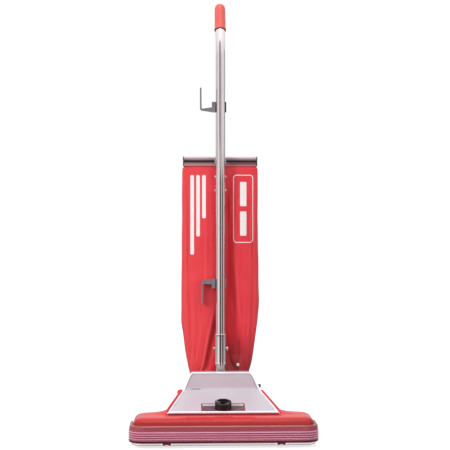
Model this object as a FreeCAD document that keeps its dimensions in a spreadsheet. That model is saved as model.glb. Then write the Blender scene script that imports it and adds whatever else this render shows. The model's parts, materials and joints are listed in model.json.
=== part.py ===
import FreeCAD, Part
import Sketcher
import math
import os

# Commercial upright vacuum cleaner with a wide nozzle, a cloth bag and a chromed two-piece handle.
# Frame: +Z up, front of the machine towards -Y, origin on the floor below the handle pivot.
# Millimetres and degrees.

Vector = FreeCAD.Vector
Rotation = FreeCAD.Rotation
doc = FreeCAD.newDocument("UprightVacuum")

SIZES = {
    # handle pivot
    "pivot_y": 12.0, "pivot_z": 72.0,
    # nozzle and motor body
    "nozzle_w": 436.0, "nozzle_front": -276.0, "nozzle_back": -186.0,
    "nozzle_top": 70.6, "nozzle_low": 12.0,
    "body_w": 282.0, "body_front": -226.0, "body_mid": -95.0, "body_rear": -8.0,
    "body_shoulder": 109.0, "body_deck": 100.0,
    # hood over the motor
    "hood_half": 134.0, "hood_front": -222.0, "hood_mid_half": 97.0, "hood_lip": 78.0,
    "hood_ridge": 111.0, "hood_top": 151.0, "hood_top_half": 77.0, "hood_rear": -10.0,
    "hood_skin": 2.4,
    # handle
    "tube_r": 12.7, "tube_wall": 1.4, "socket_low": 164.0, "socket_high": 245.0,
    "tube_joint": 638.0, "bend_low": 972.0, "bend_radius": 130.0, "bend_deg": 22.0,
    "grip_len": 78.0, "grip_r": 15.4,
    # brush roll
    "brush_y": -238.0, "brush_z": 30.0, "brush_core_r": 17.0, "bristle_r": 26.0,
    "brush_half": 202.0,
    # motor and fan
    "motor_y": -58.0, "fan_low": 32.0, "fan_high": 58.0, "fan_r": 39.5, "field_r": 38.0,
    # wheels and height carriage
    "rear_wheel_r": 36.0, "rear_wheel_w": 20.0, "rear_track": 111.0,
    "front_wheel_r": 16.0, "front_wheel_w": 16.0, "front_track": 98.0, "front_axle_y": -166.0,
    "carriage_y": -122.0, "carriage_z": 44.0,
    # height dial
    "knob_r": 20.5, "knob_high": 17.0, "knob_y": -203.0,
    # bag clamp and cord hooks
    "clamp_len": 197.0, "clamp_low": 686.0, "clamp_high": 711.0,
    "hook_up_z": 833.0, "hook_low_z": 381.0,
}


# ---- driving dimensions
class Quantity:
    """A number together with the spreadsheet expression that gives it."""

    def __init__(self, value, expression):
        self.value = float(value)
        self.expression = expression

    def __add__(self, other):
        return Quantity(self.value + num(other), "(%s + %s)" % (self.expression, text(other)))

    def __sub__(self, other):
        return Quantity(self.value - num(other), "(%s - %s)" % (self.expression, text(other)))

    def __mul__(self, other):
        return Quantity(self.value * num(other), "(%s * %s)" % (self.expression, text(other)))

    __rmul__ = __mul__

    def __truediv__(self, other):
        return Quantity(self.value / num(other), "(%s / %s)" % (self.expression, text(other)))

    def __neg__(self):
        return Quantity(-self.value, "(0 - %s)" % self.expression)


def num(value):
    return value.value if isinstance(value, Quantity) else float(value)


def text(value):
    return value.expression if isinstance(value, Quantity) else "(%.6f)" % value


class Dimensions:
    """The driving dimensions, one attribute for each alias."""


dim = Dimensions()
sheet = doc.addObject("Spreadsheet::Sheet", "Sizes")
for row, (alias, size) in enumerate(SIZES.items(), 1):
    sheet.set("A%d" % row, alias)
    sheet.set("B%d" % row, str(size))
    sheet.setAlias("B%d" % row, alias)
    setattr(dim, alias, Quantity(size, "Sizes.%s" % alias))
doc.recompute()


def bind(obj, prop, value):
    if isinstance(value, Quantity):
        obj.setExpression(prop, value.expression)


def set_size(obj, prop, value):
    setattr(obj, prop, num(value))
    bind(obj, prop, value)


def place(obj, x, y, z, rot=None):
    obj.Placement = FreeCAD.Placement(Vector(num(x), num(y), num(z)), rot or Rotation())
    bind(obj, "Placement.Base.x", x)
    bind(obj, "Placement.Base.y", y)
    bind(obj, "Placement.Base.z", z)
    return obj


# ---- pieces, by label
pieces = {}


def add_piece(label, obj):
    obj.Label = label
    pieces[label] = obj
    return obj


def piece(build):
    """Decorator that builds a piece at once, labelled with its function's name."""
    return add_piece(build.__name__, build())


# ---- primitives and booleans
TO_X = Rotation(Vector(0, 1, 0), 90)
TO_Y = Rotation(Vector(1, 0, 0), -90)


def box(length, width, height, x, y, z, rot=None):
    """A block from its low corner."""
    block = doc.addObject("Part::Box", "box")
    set_size(block, "Length", length)
    set_size(block, "Width", width)
    set_size(block, "Height", height)
    return place(block, x, y, z, rot)


def rod(radius, height, x, y, z, rot=None):
    cylinder = doc.addObject("Part::Cylinder", "rod")
    set_size(cylinder, "Radius", radius)
    set_size(cylinder, "Height", height)
    return place(cylinder, x, y, z, rot)


def rod_x(radius, x0, x1, y, z):
    """A round bar along X from x0 to x1."""
    return rod(radius, x1 - x0, x0, y, z, TO_X)


def ring(outer, inner, height, x, y, z, rot=None):
    return cut(rod(outer, height, x, y, z, rot), rod(inner, height, x, y, z, rot))


def stepped_pin(side, y, z, *steps):
    """A pin along X on one side (-1 or 1); steps are (radius, near x, far x)."""
    return fuse(*[rod_x(radius, *sorted((side * near, side * far)), y, z)
                  for radius, near, far in steps])


def cut(base, *tools):
    for tool in tools:
        result = doc.addObject("Part::Cut", "cut")
        result.Base = base
        result.Tool = tool
        base = result
    return base


def fuse(*parts):
    result = doc.addObject("Part::MultiFuse", "fuse")
    result.Shapes = list(parts)
    return result


def group(*parts):
    result = doc.addObject("Part::Compound", "group")
    result.Links = list(parts)
    return result


def common(base, tool):
    result = doc.addObject("Part::Common", "common")
    result.Base = base
    result.Tool = tool
    return result


# ---- sketches and bodies
def new_body():
    return doc.addObject("PartDesign::Body", "body")


def sketch(body, role, offset=0):
    """A sketch on an origin plane of the body, moved along the plane's normal (-Y for XZ)."""
    plane = [f for f in body.Origin.OriginFeatures if f.Role == role][0]
    result = body.newObject("Sketcher::SketchObject", "sketch")
    result.AttachmentSupport = [(plane, "")]
    result.MapMode = "FlatFace"
    result.AttachmentOffset = FreeCAD.Placement(Vector(0, 0, num(offset)), Rotation())
    bind(result, "AttachmentOffset.Base.z", offset)
    return result


def constrain(drawing, kind, value, *where):
    index = drawing.addConstraint(Sketcher.Constraint(kind, *where, num(value)))
    bind(drawing, "Constraints[%d]" % index, value)


def polygon(drawing, points):
    count = len(points)
    corners = [Vector(num(x), num(y), 0) for x, y in points]
    for i in range(count):
        drawing.addGeometry(Part.LineSegment(corners[i], corners[(i + 1) % count]), False)
    for i in range(count):
        drawing.addConstraint(Sketcher.Constraint("Coincident", i, 2, (i + 1) % count, 1))
    for i, (x, y) in enumerate(points):
        constrain(drawing, "DistanceX", x, -1, 1, i, 1)
        constrain(drawing, "DistanceY", y, -1, 1, i, 1)
    return drawing


def circles(drawing, x, y, *radii):
    for radius in radii:
        circle = Part.Circle(Vector(num(x), num(y), 0), Vector(0, 0, 1), num(radius))
        index = drawing.addGeometry(circle, False)
        constrain(drawing, "DistanceX", x, -1, 1, index, 3)
        constrain(drawing, "DistanceY", y, -1, 1, index, 3)
        constrain(drawing, "Radius", radius, index)
    return drawing


def path(drawing, *runs):
    """An open path; a run of two points is a line, one of three points is an arc."""
    for run in runs:
        points = [Vector(x, y, 0) for x, y in run]
        make = Part.LineSegment if len(points) == 2 else Part.Arc
        drawing.addGeometry(make(*points), False)
    for i in range(len(runs)):
        drawing.addConstraint(Sketcher.Constraint("Block", i))
    return drawing


def sweep(body, profile, spine):
    pipe = body.newObject("PartDesign::AdditivePipe", "pipe")
    pipe.Profile = profile
    pipe.Spine = spine
    return body


def extrude(body, kind, role, points, length, symmetric, offset, reverse):
    profile = polygon(sketch(body, role, offset), points)
    feature = body.newObject("PartDesign::%s" % kind, kind.lower())
    feature.Profile = profile
    set_size(feature, "Length", length)
    if symmetric:
        feature.SideType = "Symmetric"
    if reverse:
        feature.Reversed = True
    profile.Visibility = False
    return feature


def pad(body, role, points, length, symmetric=False, offset=0, reverse=False):
    extrude(body, "Pad", role, points, length, symmetric, offset, reverse)


def pocket(body, role, points, length, symmetric=False, offset=0, reverse=False):
    """Cuts the other way if nothing was cut, and fails if that cuts nothing either."""
    doc.recompute()
    before = body.Shape.Volume
    feature = extrude(body, "Pocket", role, points, length, symmetric, offset, reverse)
    doc.recompute()
    if body.Shape.Volume > before - 1e-3:
        feature.Reversed = not reverse
        doc.recompute()
        if body.Shape.Volume > before - 1e-3:
            raise ValueError("a pocket cut nothing: %s" % feature.Name)


def revolve(points, x, y, z, rot=None, about_x=False):
    """Turns (radius, height) points about Z, or (x, radius) points about X."""
    role, axis = ("XY_Plane", "H_Axis") if about_x else ("XZ_Plane", "V_Axis")
    body = new_body()
    profile = polygon(sketch(body, role), points)
    feature = body.newObject("PartDesign::Revolution", "revolve")
    feature.Profile = profile
    feature.ReferenceAxis = (profile, [axis])
    feature.Angle = 360
    profile.Visibility = False
    return place(body, x, y, z, rot)


def soften(body, pick, radius):
    """Fillets the edges that pick(middle, direction, length) accepts."""
    doc.recompute()
    tip = body.Tip
    names = []
    for i, edge in enumerate(tip.Shape.Edges, 1):
        halfway = (edge.FirstParameter + edge.LastParameter) / 2
        if pick(edge.valueAt(halfway), edge.tangentAt(halfway), edge.Length):
            names.append("Edge%d" % i)
    if not names:
        return
    fillet = body.newObject("PartDesign::Fillet", "fillet")
    fillet.Base = (tip, names)
    fillet.Radius = radius
    doc.recompute()
    failed = "Invalid" in fillet.State or "Error" in fillet.State or fillet.Shape.isNull()
    # the body stays sharp where the kernel can't make the fillet
    if failed or not fillet.Shape.isValid() or not body.Shape.Solids:
        body.removeObject(fillet)
        doc.removeObject(fillet.Name)
        body.Tip = tip
        doc.recompute()


def loft(sections):
    """A solid through polygons given as (z, points)."""
    body = new_body()
    profiles = [polygon(sketch(body, "XY_Plane", z), points) for z, points in sections]
    feature = body.newObject("PartDesign::AdditiveLoft", "loft")
    feature.Profile = profiles[0]
    feature.Sections = profiles[1:]
    for profile in profiles:
        profile.Visibility = False
    return body


def on_side(side, points):
    return [(side * x, y) for x, y in points]


def both_sides(half):
    """Closes half an outline with its mirror image across x = 0."""
    return half + [(-x, y) for x, y in reversed(half)]


# ---- places shared by the pieces of the base
half_nozzle = dim.nozzle_w / 2
half_body = dim.body_w / 2
nozzle_corner = 26.0

# the front of the hood rises backwards at this slope
hood_slope = math.atan2(num(dim.hood_ridge) - num(dim.hood_lip),
                        num(dim.body_mid) - num(dim.hood_front))
HOOD_LEAN = Rotation(Vector(1, 0, 0), math.degrees(hood_slope))
knob_z = dim.hood_lip + (dim.knob_y - dim.hood_front) * math.tan(hood_slope)

hood_screw_at = (-40, 85)  # y, z
plate_screws = [(side * x, y) for x, y in ((104.4, -110), (96.5, -26)) for side in (-1, 1)]
latch_at = [(-172, -189), (172, -189)]
bar_xs = [14, 54, 104, 155]  # wires across the suction mouth, right of the middle
cord_x, cord_z = 4, 84
switch_y, switch_z = -70, 119


def hood_screw_holes():
    return [rod_x(2.03, x, x + 20, *hood_screw_at) for x in (-106, 86)]


def cord_hole():
    return rod(4.2, 12, cord_x, -16, cord_z, TO_Y)


def stem_hole():
    """Hole for the dial's stem, square to the hood's sloping front."""
    return rod(6.4, 60, 0, dim.knob_y + 30 * math.sin(hood_slope),
               knob_z - 30 * math.cos(hood_slope), HOOD_LEAN)


# ---- nozzle housing: wide nozzle, tapering motor body, brush chamber and open motor bay
def motor_body():
    body = new_body()
    front = dim.hood_front + 0.4
    pad(body, "YZ_Plane",
        [(dim.body_front, dim.nozzle_low), (dim.body_front, dim.nozzle_top),
         (front, dim.nozzle_top + 0.6), (front, dim.hood_lip - 2.4),
         (dim.body_mid, dim.body_shoulder), (dim.body_mid + 16, dim.body_shoulder),
         (dim.body_mid + 20, dim.body_deck), (dim.body_rear, dim.body_deck),
         (dim.body_rear, dim.nozzle_low)], dim.body_w, symmetric=True)
    beside = [(half_body + 5, dim.body_front - 5), (half_body, dim.body_front),
              (104, dim.body_mid), (98, dim.body_rear + 1), (half_body + 5, dim.body_rear + 1)]
    for side in (1, -1):
        pocket(body, "XY_Plane", on_side(side, beside), 150, reverse=True)
    return body


def add_nozzle(body):
    front = dim.nozzle_front
    pad(body, "YZ_Plane",
        [(front, dim.nozzle_low), (front, 47), (front + 1.6, 56), (front + 5.5, 63),
         (front + 12, 68), (front + 22, 70.4), (dim.body_front, dim.nozzle_top),
         (dim.nozzle_back - 6, 80), (dim.nozzle_back, 76), (dim.nozzle_back, dim.nozzle_low)],
        dim.nozzle_w, symmetric=True)
    # (x, z): the deck falls away from the motor body to the nozzle's rounded ends
    above_end = [(133, 84), (138, 79.5), (148, 75.5), (162, 73.5), (187, 72.4), (199, 71.2),
                 (206, 69.2), (211, 66), (214.8, 61), (217.2, 54), (half_nozzle, 47),
                 (half_nozzle + 8, 47), (half_nozzle + 8, 100), (133, 100)]
    # (x, y): what lies outside the rounded front corner
    corner = [(half_nozzle - nozzle_corner, front - 6)]
    for i in range(11):
        angle = math.radians(9 * i)
        corner.append((half_nozzle - nozzle_corner * (1 - math.sin(angle)),
                       front + nozzle_corner * (1 - math.cos(angle))))
    corner += [(half_nozzle + 6, front + nozzle_corner), (half_nozzle + 6, front - 6)]
    for side in (1, -1):
        pocket(body, "XZ_Plane", on_side(side, above_end), 600, symmetric=True)
        pocket(body, "XY_Plane", on_side(side, corner), 150, reverse=True)


def hollow_housing(body):
    front = dim.nozzle_front
    # brush chamber, closed at the top and ends, open below
    pocket(body, "YZ_Plane",
           [(front + 4, dim.nozzle_low - 1), (front + 4, 40), (front + 14, 56),
            (front + 26, 62), (-206, 64), (-197, 58), (-197, dim.nozzle_low - 1)],
           dim.nozzle_w - 14, symmetric=True)
    # hollow under the motor body
    pocket(body, "XY_Plane", both_sides([(122, -193), (98, -100), (93, dim.body_rear - 3)]),
           52.5, offset=dim.nozzle_low - 1, reverse=True)
    # opening that the hood drops into
    pocket(body, "XY_Plane",
           both_sides([(dim.hood_half + 1.6, dim.hood_front - 0.6),
                       (dim.hood_mid_half + 0.7, dim.body_mid), (92.5, dim.hood_rear + 0.5)]),
           80, offset=66.5, reverse=True)
    # joins the hollow and the opening
    pocket(body, "XY_Plane", both_sides([(96, -190), (92, dim.hood_rear - 2)]),
           12, offset=60, reverse=True)


@piece
def nozzle_housing():
    body = motor_body()
    add_nozzle(body)
    hollow_housing(body)
    # stepped round boss on the left shoulder, cut flat on its inner side
    boss = fuse(rod(7.5, 11, -103.5, -91, 99.5), rod(5.5, 2.8, -103.5, -91, 110.4))
    boss = cut(boss, box(20, 40, 30, -98.9, -110, 90))
    housing = fuse(body, common(boss, box(40, 40, 40, -130, -110, 90)))
    belt_and_throat_slot = box(88, 12, 45, -20, -201, 11)
    duct_opening = box(46, 12, 28, -61, -16, 31)
    return cut(housing, group(
        belt_and_throat_slot, duct_opening,
        rod_x(4.03, -111, 111, dim.carriage_y, dim.carriage_z),
        *hood_screw_holes(), cord_hole(),
        *[rod(1.63, 14, x, y, 11) for x, y in plate_screws],
        *[rod(3.05, 7, x, y, 11) for x, y in latch_at]))


# ---- hood over the motor
def hood_block(skin, floor):
    """The hood's solid form, set in by the skin and starting at the floor height."""
    body = new_body()
    pad(body, "YZ_Plane",
        [(dim.hood_front + skin, floor),
         (dim.hood_front + skin, dim.hood_lip - skin * 1.05),
         (dim.body_mid - 0.1 * skin, dim.hood_ridge - skin * 1.1),
         (-64 + skin * 0.5, dim.hood_top - skin),
         (dim.hood_rear - 2 - skin, dim.hood_top - skin),
         (dim.hood_rear - skin, floor)], 300, symmetric=True)
    front_half = dim.hood_half - skin
    beside = [(front_half, dim.hood_front - 6), (front_half, dim.hood_front + 2),
              (dim.hood_mid_half - skin, dim.body_mid), (91.5 - skin, dim.hood_rear + 4),
              (160, dim.hood_rear + 4), (160, dim.hood_front - 6)]
    above = [(101 - skin, 104), (98 - skin, 111), (dim.hood_top_half - skin, dim.hood_top + 2),
             (160, dim.hood_top + 2), (160, 104)]
    for side in (1, -1):
        pocket(body, "XY_Plane", on_side(side, beside), 400, symmetric=True)
        pocket(body, "XZ_Plane", on_side(side, above), 500, symmetric=True)
    return body


def front_block(length, width, height, inset):
    """A block let 1.5 into the hood's sloping front, behind its front edge."""
    return box(length, width, height, -length / 2, dim.hood_front + inset,
               dim.hood_lip + inset * math.tan(hood_slope) - 1.5, HOOD_LEAN)


@piece
def motor_hood():
    outside = hood_block(0, 67)
    # side and upright edges, then the top's edges, then the front lip
    soften(outside, lambda mid, run, length: 79 < mid.z < 149.5 and abs(mid.x) > 40
           and not (abs(run.x) > 0.9 and 108 < mid.z < 118), 5.0)
    soften(outside, lambda mid, run, length: mid.z > 150 and length > 40, 5.0)
    soften(outside, lambda mid, run, length: abs(run.x) > 0.9 and 80 < mid.z < 84, 2.5)
    shell = cut(outside, hood_block(num(dim.hood_skin), 50))
    return cut(shell, front_block(107, 46, 6, 3), stem_hole(),
               rod_x(5.3, 60, 130, switch_y, switch_z), *hood_screw_holes(), cord_hole())


@piece
def height_dial_plate():
    """Plate that lies in the hood's recess, with the stem's hole."""
    return cut(front_block(106.4, 45.4, 1.2, 3.3), stem_hole())


@piece
def furniture_guard():
    """Ribbed strip round the nozzle's front and ends."""
    guard_low, rib_pitch, rib_count = 15.4, 5.2, 5
    # (distance out from the nozzle, z)
    ribs = [(0.4, guard_low)]
    for i in range(rib_count):
        z = guard_low + rib_pitch * i
        ribs += [(8.7, z + 0.5), (10.5, z + 2.1), (8.7, z + 3.7), (7.4, z + 4.5)]
    z = guard_low + rib_pitch * rib_count
    ribs += [(8.0, z + 0.8), (8.4, z + 1.6), (7.4, z + 10.2), (5.2, z + 12.4), (0.6, z + 13.0)]
    body = new_body()
    profile = polygon(sketch(body, "XZ_Plane", 200), [(-half_nozzle - out, z) for out, z in ribs])
    half, front = num(half_nozzle), num(dim.nozzle_front)
    inner, behind = half - nozzle_corner, front + nozzle_corner
    bow = nozzle_corner * (1 - math.sqrt(0.5))
    spine = path(sketch(body, "XY_Plane", guard_low),
                 [(-half, -200), (-half, behind)],
                 [(-half, behind), (-half + bow, front + bow), (-inner, front)],
                 [(-inner, front), (inner, front)],
                 [(inner, front), (half - bow, front + bow), (half, behind)],
                 [(half, behind), (half, -200)])
    return sweep(body, profile, spine)


# ---- steel bottom plate with its suction mouth, guard wires, front hooks and belt cover
def plate_outline(half, front, rear):
    return both_sides([(-half, rear), (-half, front + 30), (-half + 3, front + 17),
                       (-half + 9, front + 8), (-half + 19, front + 2), (-half + 32, front)])


@piece
def bottom_plate():
    body = new_body()
    pad(body, "XY_Plane", plate_outline(221, -279.6, -193.2), 6.8, offset=7.4)
    # clear the underside and then the top, which leaves a rim round the front and ends
    pocket(body, "XY_Plane", plate_outline(218.6, -277.2, -190), 1.2, offset=7.4, reverse=True)
    tray = [(-218.8, -190)]
    for i in range(11):
        angle = math.radians(9 * i)
        tray.append((-192 - 26.8 * math.cos(angle), -250 - 26.8 * math.sin(angle)))
    pocket(body, "XY_Plane", both_sides(tray), 5.0, offset=10.2, reverse=True)
    # cover behind the nozzle
    pad(body, "XY_Plane", both_sides([(76, -194), (76, -130), (108, -122), (108, -104),
                                      (100, -90), (98, -14)]), 1.6, offset=8.6)
    mouth = both_sides([(206, -258), (206, -216)])
    pocket(body, "XY_Plane", mouth, 6, offset=7, reverse=True)
    bars = [box(3, 42.4, 1.4, x - 1.5, -258.2, 8.7)
            for x in [-x for x in reversed(bar_xs)] + bar_xs]
    hooks = []
    for x in (-136, 136):
        hooks += [box(28, 2.2, 7.6, x - 14, -281.8, 7.6), box(8, 7, 2.2, x - 4, -286.4, 7.6)]
    return cut(fuse(body, *bars, *hooks), *[rod(1.63, 12, x, y, 4) for x, y in plate_screws])


# turn latches at the plate's rear edge, each with a wing that points forwards
for label, (x, y) in zip(("latch_left", "latch_right"), latch_at):
    add_piece(label, fuse(rod(3.0, 10.4, x, y, 6.4), rod(3.8, 2.0, x, y, 6.4),
                          box(7.6, 24, 2.0, x - 3.8, y - 24, 6.4)))

# ---- brush roll
groove_depth = 2.6  # belt groove in the middle of the core


def brush_axis_rod(radius, x0, x1):
    return rod_x(radius, x0, x1, dim.brush_y, dim.brush_z)


@piece
def brush_roll_core():
    half, radius = dim.brush_half, dim.brush_core_r
    outline = both_sides([(-half, 0), (-half, radius - 1.5), (-half + 2, radius),
                          (-4.5, radius), (-3, radius - groove_depth)])
    core = revolve(outline, 0, dim.brush_y, dim.brush_z, about_x=True)
    return cut(core, brush_axis_rod(4.0, -216, 216))


@piece
def brush_bristles():
    """Two opposite rows on each side, a quarter turn apart, with gaps at the wires."""
    gap = 3.8
    starts = [x + gap for x in bar_xs]
    ends = [x - gap for x in bar_xs[1:]] + [199]
    blades = []
    for side, side_angle in ((-1, 0), (1, 90)):
        for start, end in zip(starts, ends):
            for angle in (side_angle, side_angle + 180):
                turn = Rotation(Vector(1, 0, 0), angle)
                corner = turn.multVec(Vector(0, -2.2, num(dim.brush_core_r)))
                blades.append(box(end - start, 4.4, dim.bristle_r - dim.brush_core_r,
                                  start if side > 0 else -end,
                                  dim.brush_y + corner.y, dim.brush_z + corner.z, turn))
    return group(*blades)


@piece
def brush_roll_shaft():
    return brush_axis_rod(4.0, -210.4, 210.4)


@piece
def brush_end_bearings():
    return group(*[cut(box(8.2, 34, 34, x, dim.brush_y - 17, dim.brush_z - 15),
                       brush_axis_rod(4.06, x - 1, x + 10)) for x in (-210.8, 202.6)])


# ---- motor: upright shaft, suction fan and belt pulley below, field and brushes above
shaft_bore = 4.05
bearing_seat = 11.1
pulley_groove_r = 6.2


def motor_rod(radius, height, z):
    return rod(radius, height, 0, dim.motor_y, z)


def motor_ring(outer, inner, height, z):
    return ring(outer, inner, height, 0, dim.motor_y, z)


@piece
def fan_chamber():
    """Round chamber with an outlet at the rear and a throat towards the brush chamber."""
    low = dim.fan_low
    height = dim.fan_high - low
    chamber = cut(motor_rod(dim.fan_r + 6, height, low),
                  motor_rod(dim.fan_r + 2.5, height - 6, low + 3),
                  motor_rod(6, 5, low - 1), motor_rod(bearing_seat, 8, dim.fan_high - 4))
    outlet = cut(box(44, 40, height, -60, -40, low), motor_rod(dim.fan_r + 2, 30, low - 1))
    chamber = cut(fuse(chamber, outlet), box(38, 60, height - 6, -57, -50, low + 3))
    throat = cut(box(52, 154, 18.2, 14, -194, 14), box(46, 160, 12.2, 17, -200, 17))
    return cut(fuse(chamber, throat), box(18, 34, 9, 19, dim.motor_y - 17, 27))


@piece
def suction_fan():
    parts = [motor_ring(dim.fan_r, shaft_bore, 2, dim.fan_high - 8),
             motor_ring(9, shaft_bore, 14, dim.fan_high - 21.9)]
    for i in range(6):
        turn = Rotation(Vector(0, 0, 1), 60 * i)
        corner = turn.multVec(Vector(8, -1, 0))
        parts.append(box(dim.fan_r - 10, 2, 13, corner.x, dim.motor_y + corner.y,
                         dim.fan_high - 20.9, turn))
    return fuse(*parts)


@piece
def armature_shaft():
    return motor_rod(4.0, 114, 15)


@piece
def armature_core():
    return fuse(motor_ring(20, shaft_bore, 30, 65.5), motor_ring(15, shaft_bore, 5, 95.5))


@piece
def commutator():
    return motor_ring(10.5, shaft_bore, 11, 102)


@piece
def belt_pulley():
    return revolve([(shaft_bore, 15), (10, 15), (10, 17), (pulley_groove_r, 18.5),
                    (pulley_groove_r, 22.5), (10, 24), (10, 26), (shaft_bore, 26)],
                   0, dim.motor_y, 0)


@piece
def field_core():
    return cut(motor_rod(dim.field_r, 34, 63), motor_rod(21.5, 40, 60))


@piece
def field_windings():
    return motor_ring(31, 23, 5.2, 97.2)


@piece
def motor_end_bells():
    lower = cut(motor_rod(42, 4.6, 58.2), motor_rod(bearing_seat, 8, 56))
    upper = cut(fuse(motor_rod(34, 12.4, 97.1), motor_rod(14, 24.5, 109)),
                motor_rod(32, 10.4, 97), motor_rod(bearing_seat, 30, 100),
                box(64, 5.4, 6.4, -32, dim.motor_y - 2.7, 103.8))
    return group(lower, upper)


@piece
def armature_bearings():
    return group(*[motor_ring(11.0, shaft_bore, 7, z) for z in (55.5, 121.2)])


@piece
def carbon_brushes():
    return group(*[box(14, 5, 6, x, dim.motor_y - 2.5, 104) for x in (10.9, -24.9)])


@piece
def drive_belt():
    """Round belt with a quarter twist, from the brush roll's groove to the pulley."""
    roll_y, roll_z = num(dim.brush_y), num(dim.brush_z)
    roll_r = num(dim.brush_core_r) - groove_depth + 2.5
    pulley_y, pulley_z, pulley_r = num(dim.motor_y), 20.5, pulley_groove_r + 2.3
    on_roll = []
    for degrees in range(90, 271, 20):
        angle = math.radians(degrees)
        on_roll.append(Vector(0, roll_y + roll_r * math.cos(angle),
                              roll_z + roll_r * math.sin(angle)))
    on_pulley = []
    for degrees in range(0, 181, 30):
        angle = math.radians(degrees)
        on_pulley.append(Vector(-pulley_r * math.cos(angle),
                                pulley_y + pulley_r * math.sin(angle), pulley_z))

    def between(start, end):
        return [start + (end - start) * part for part in (0.12, 0.3, 0.5, 0.7, 0.88)]

    curve = Part.BSplineCurve()
    curve.interpolate(on_roll + between(on_roll[-1], on_pulley[0]) + on_pulley
                      + between(on_pulley[-1], on_roll[0]), PeriodicFlag=True)
    # swept in two halves, since the curve is closed
    first, last = curve.FirstParameter, curve.LastParameter
    middle = (first + last) / 2
    halves = []
    for start, end in ((first, middle), (middle, last)):
        run = Part.Wire([curve.toShape(start, end)])
        circle = Part.Circle(curve.value(start), curve.tangent(start)[0], 2.0)
        halves.append(run.makePipeShell([Part.Wire([circle.toShape()])], True, True))
    belt = doc.addObject("Part::Feature", "belt")
    belt.Shape = Part.Compound(halves)
    return belt


# ---- rear bracket with axle stubs, handle pivots and wheels
pedal_y, pedal_z = 18.0, 48.0


@piece
def rear_bracket():
    body = new_body()
    pad(body, "XZ_Plane", both_sides([(84.5, 24), (84.5, 88), (81, 88), (81, 27.5)]),
        34, offset=8, reverse=True)
    return cut(body, rod_x(5.02, -90, 90, dim.pivot_y, dim.rear_wheel_r),
               rod_x(5.02, -90, 90, dim.pivot_y, dim.pivot_z),
               rod_x(3.02, 70, 90, pedal_y, pedal_z))


@piece
def rear_axle():
    return group(*[stepped_pin(side, dim.pivot_y, dim.rear_wheel_r, (5.0, 77, 124.6),
                               (8, 77, 80.9), (8, 121.4, 124.6)) for side in (-1, 1)])


def wheel(x, y, radius, width, half_profile):
    """half_profile holds (inset from the wheel's side, radius) from the bore outwards."""
    outline = both_sides([(-(width / 2) + inset, level) for inset, level in half_profile])
    return revolve(outline, x, y, radius, about_x=True)


def rear_wheel(x):
    radius = dim.rear_wheel_r
    return wheel(x, dim.pivot_y, radius, dim.rear_wheel_w,
                 [(0, 5.06), (0, 12), (4, 14), (4, radius - 10), (1, radius - 7),
                  (1, radius - 3), (4, radius - 0.6), (7, radius)])


add_piece("rear_wheel_left", rear_wheel(-dim.rear_track))
add_piece("rear_wheel_right", rear_wheel(dim.rear_track))


# ---- height carriage: pivots behind the brush, carries the front wheels, moved by the dial
@piece
def carriage_pivot_rod():
    return rod_x(4.0, -108, 108, dim.carriage_y, dim.carriage_z)


@piece
def height_carriage():
    axle_y = dim.front_axle_y
    parts = []
    for x in (-84, 80):
        parts += [box(4, 52, 9, x, axle_y - 4, dim.carriage_z - 4.5),
                  box(4, 12, 48.5, x, axle_y - 6, 12.5)]
    crossbar = box(168, 8, 5, -84, axle_y - 4, 56)
    mast = box(18, 5, 19.3, -9, axle_y - 4, 56)
    toe = box(18, 25.5, 3.3, -9, -186.5, 72.0)
    return cut(fuse(*parts, crossbar, mast, toe),
               rod_x(4.06, -100, 100, dim.carriage_y, dim.carriage_z),
               rod_x(3.02, -100, 100, axle_y, dim.front_wheel_r))


@piece
def front_axle():
    return group(*[stepped_pin(side, dim.front_axle_y, dim.front_wheel_r, (3.0, 77.5, 108.2),
                               (4.6, 77.5, 79.9), (4.6, 106.4, 108.2)) for side in (-1, 1)])


def front_wheel(x):
    radius = dim.front_wheel_r
    return wheel(x, dim.front_axle_y, radius, dim.front_wheel_w,
                 [(0, 3.06), (0, radius - 2), (2, radius)])


add_piece("front_wheel_left", front_wheel(-dim.front_track))
add_piece("front_wheel_right", front_wheel(dim.front_track))


@piece
def height_dial():
    """Eight-sided knob, stem and cam in one moulding."""
    body = new_body()
    corner_r = dim.knob_r / math.cos(math.radians(22.5)) * 0.985
    angles = [math.radians(22.5 + 45 * i) for i in range(8)]
    pad(body, "XY_Plane", [(corner_r * math.cos(a), corner_r * math.sin(a)) for a in angles],
        dim.knob_high, offset=0.9)
    soften(body, lambda mid, run, length: abs(run.z) > 0.9, 6.0)
    soften(body, lambda mid, run, length: mid.z > 17, 2.6)
    dish = rod(14.2, 4, 0, 0, dim.knob_high - 2.4)
    well = rod(7.6, 12, 0, 0, dim.knob_high - 9)
    stem = rod(6.0, 9, 0, 0, -8)
    cam = rod(10, 2.4, 0, 0, -10.4)
    return place(fuse(cut(body, dish, well), stem, cam), 0, dim.knob_y, knob_z, HOOD_LEAN)


# ---- exhaust duct, which bends upwards behind the body, and the bag's collar on it
duct_x, duct_z, duct_deg = -38, 45, 50
duct_run = 34
duct_dy, duct_dz = math.cos(math.radians(duct_deg)), math.sin(math.radians(duct_deg))


def duct_bend(degrees):
    """Point (y, z) on the duct's bend, so many degrees round it."""
    angle = math.radians(degrees)
    return 3 + 28.0 * math.sin(angle), duct_z + 28.0 * (1 - math.cos(angle))


bend_y, bend_z = duct_bend(duct_deg)
duct_end = (bend_y + duct_run * duct_dy, bend_z + duct_run * duct_dz)


@piece
def exhaust_duct():
    body = new_body()
    profile = circles(sketch(body, "XZ_Plane", -0.2), duct_x, duct_z, 13.0, 10.5)
    spine = path(sketch(body, "YZ_Plane", duct_x),
                 [(0.2, duct_z), (3, duct_z)],
                 [(3, duct_z), duct_bend(duct_deg / 2), (bend_y, bend_z)],
                 [(bend_y, bend_z), duct_end])
    return sweep(body, profile, spine)


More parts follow.
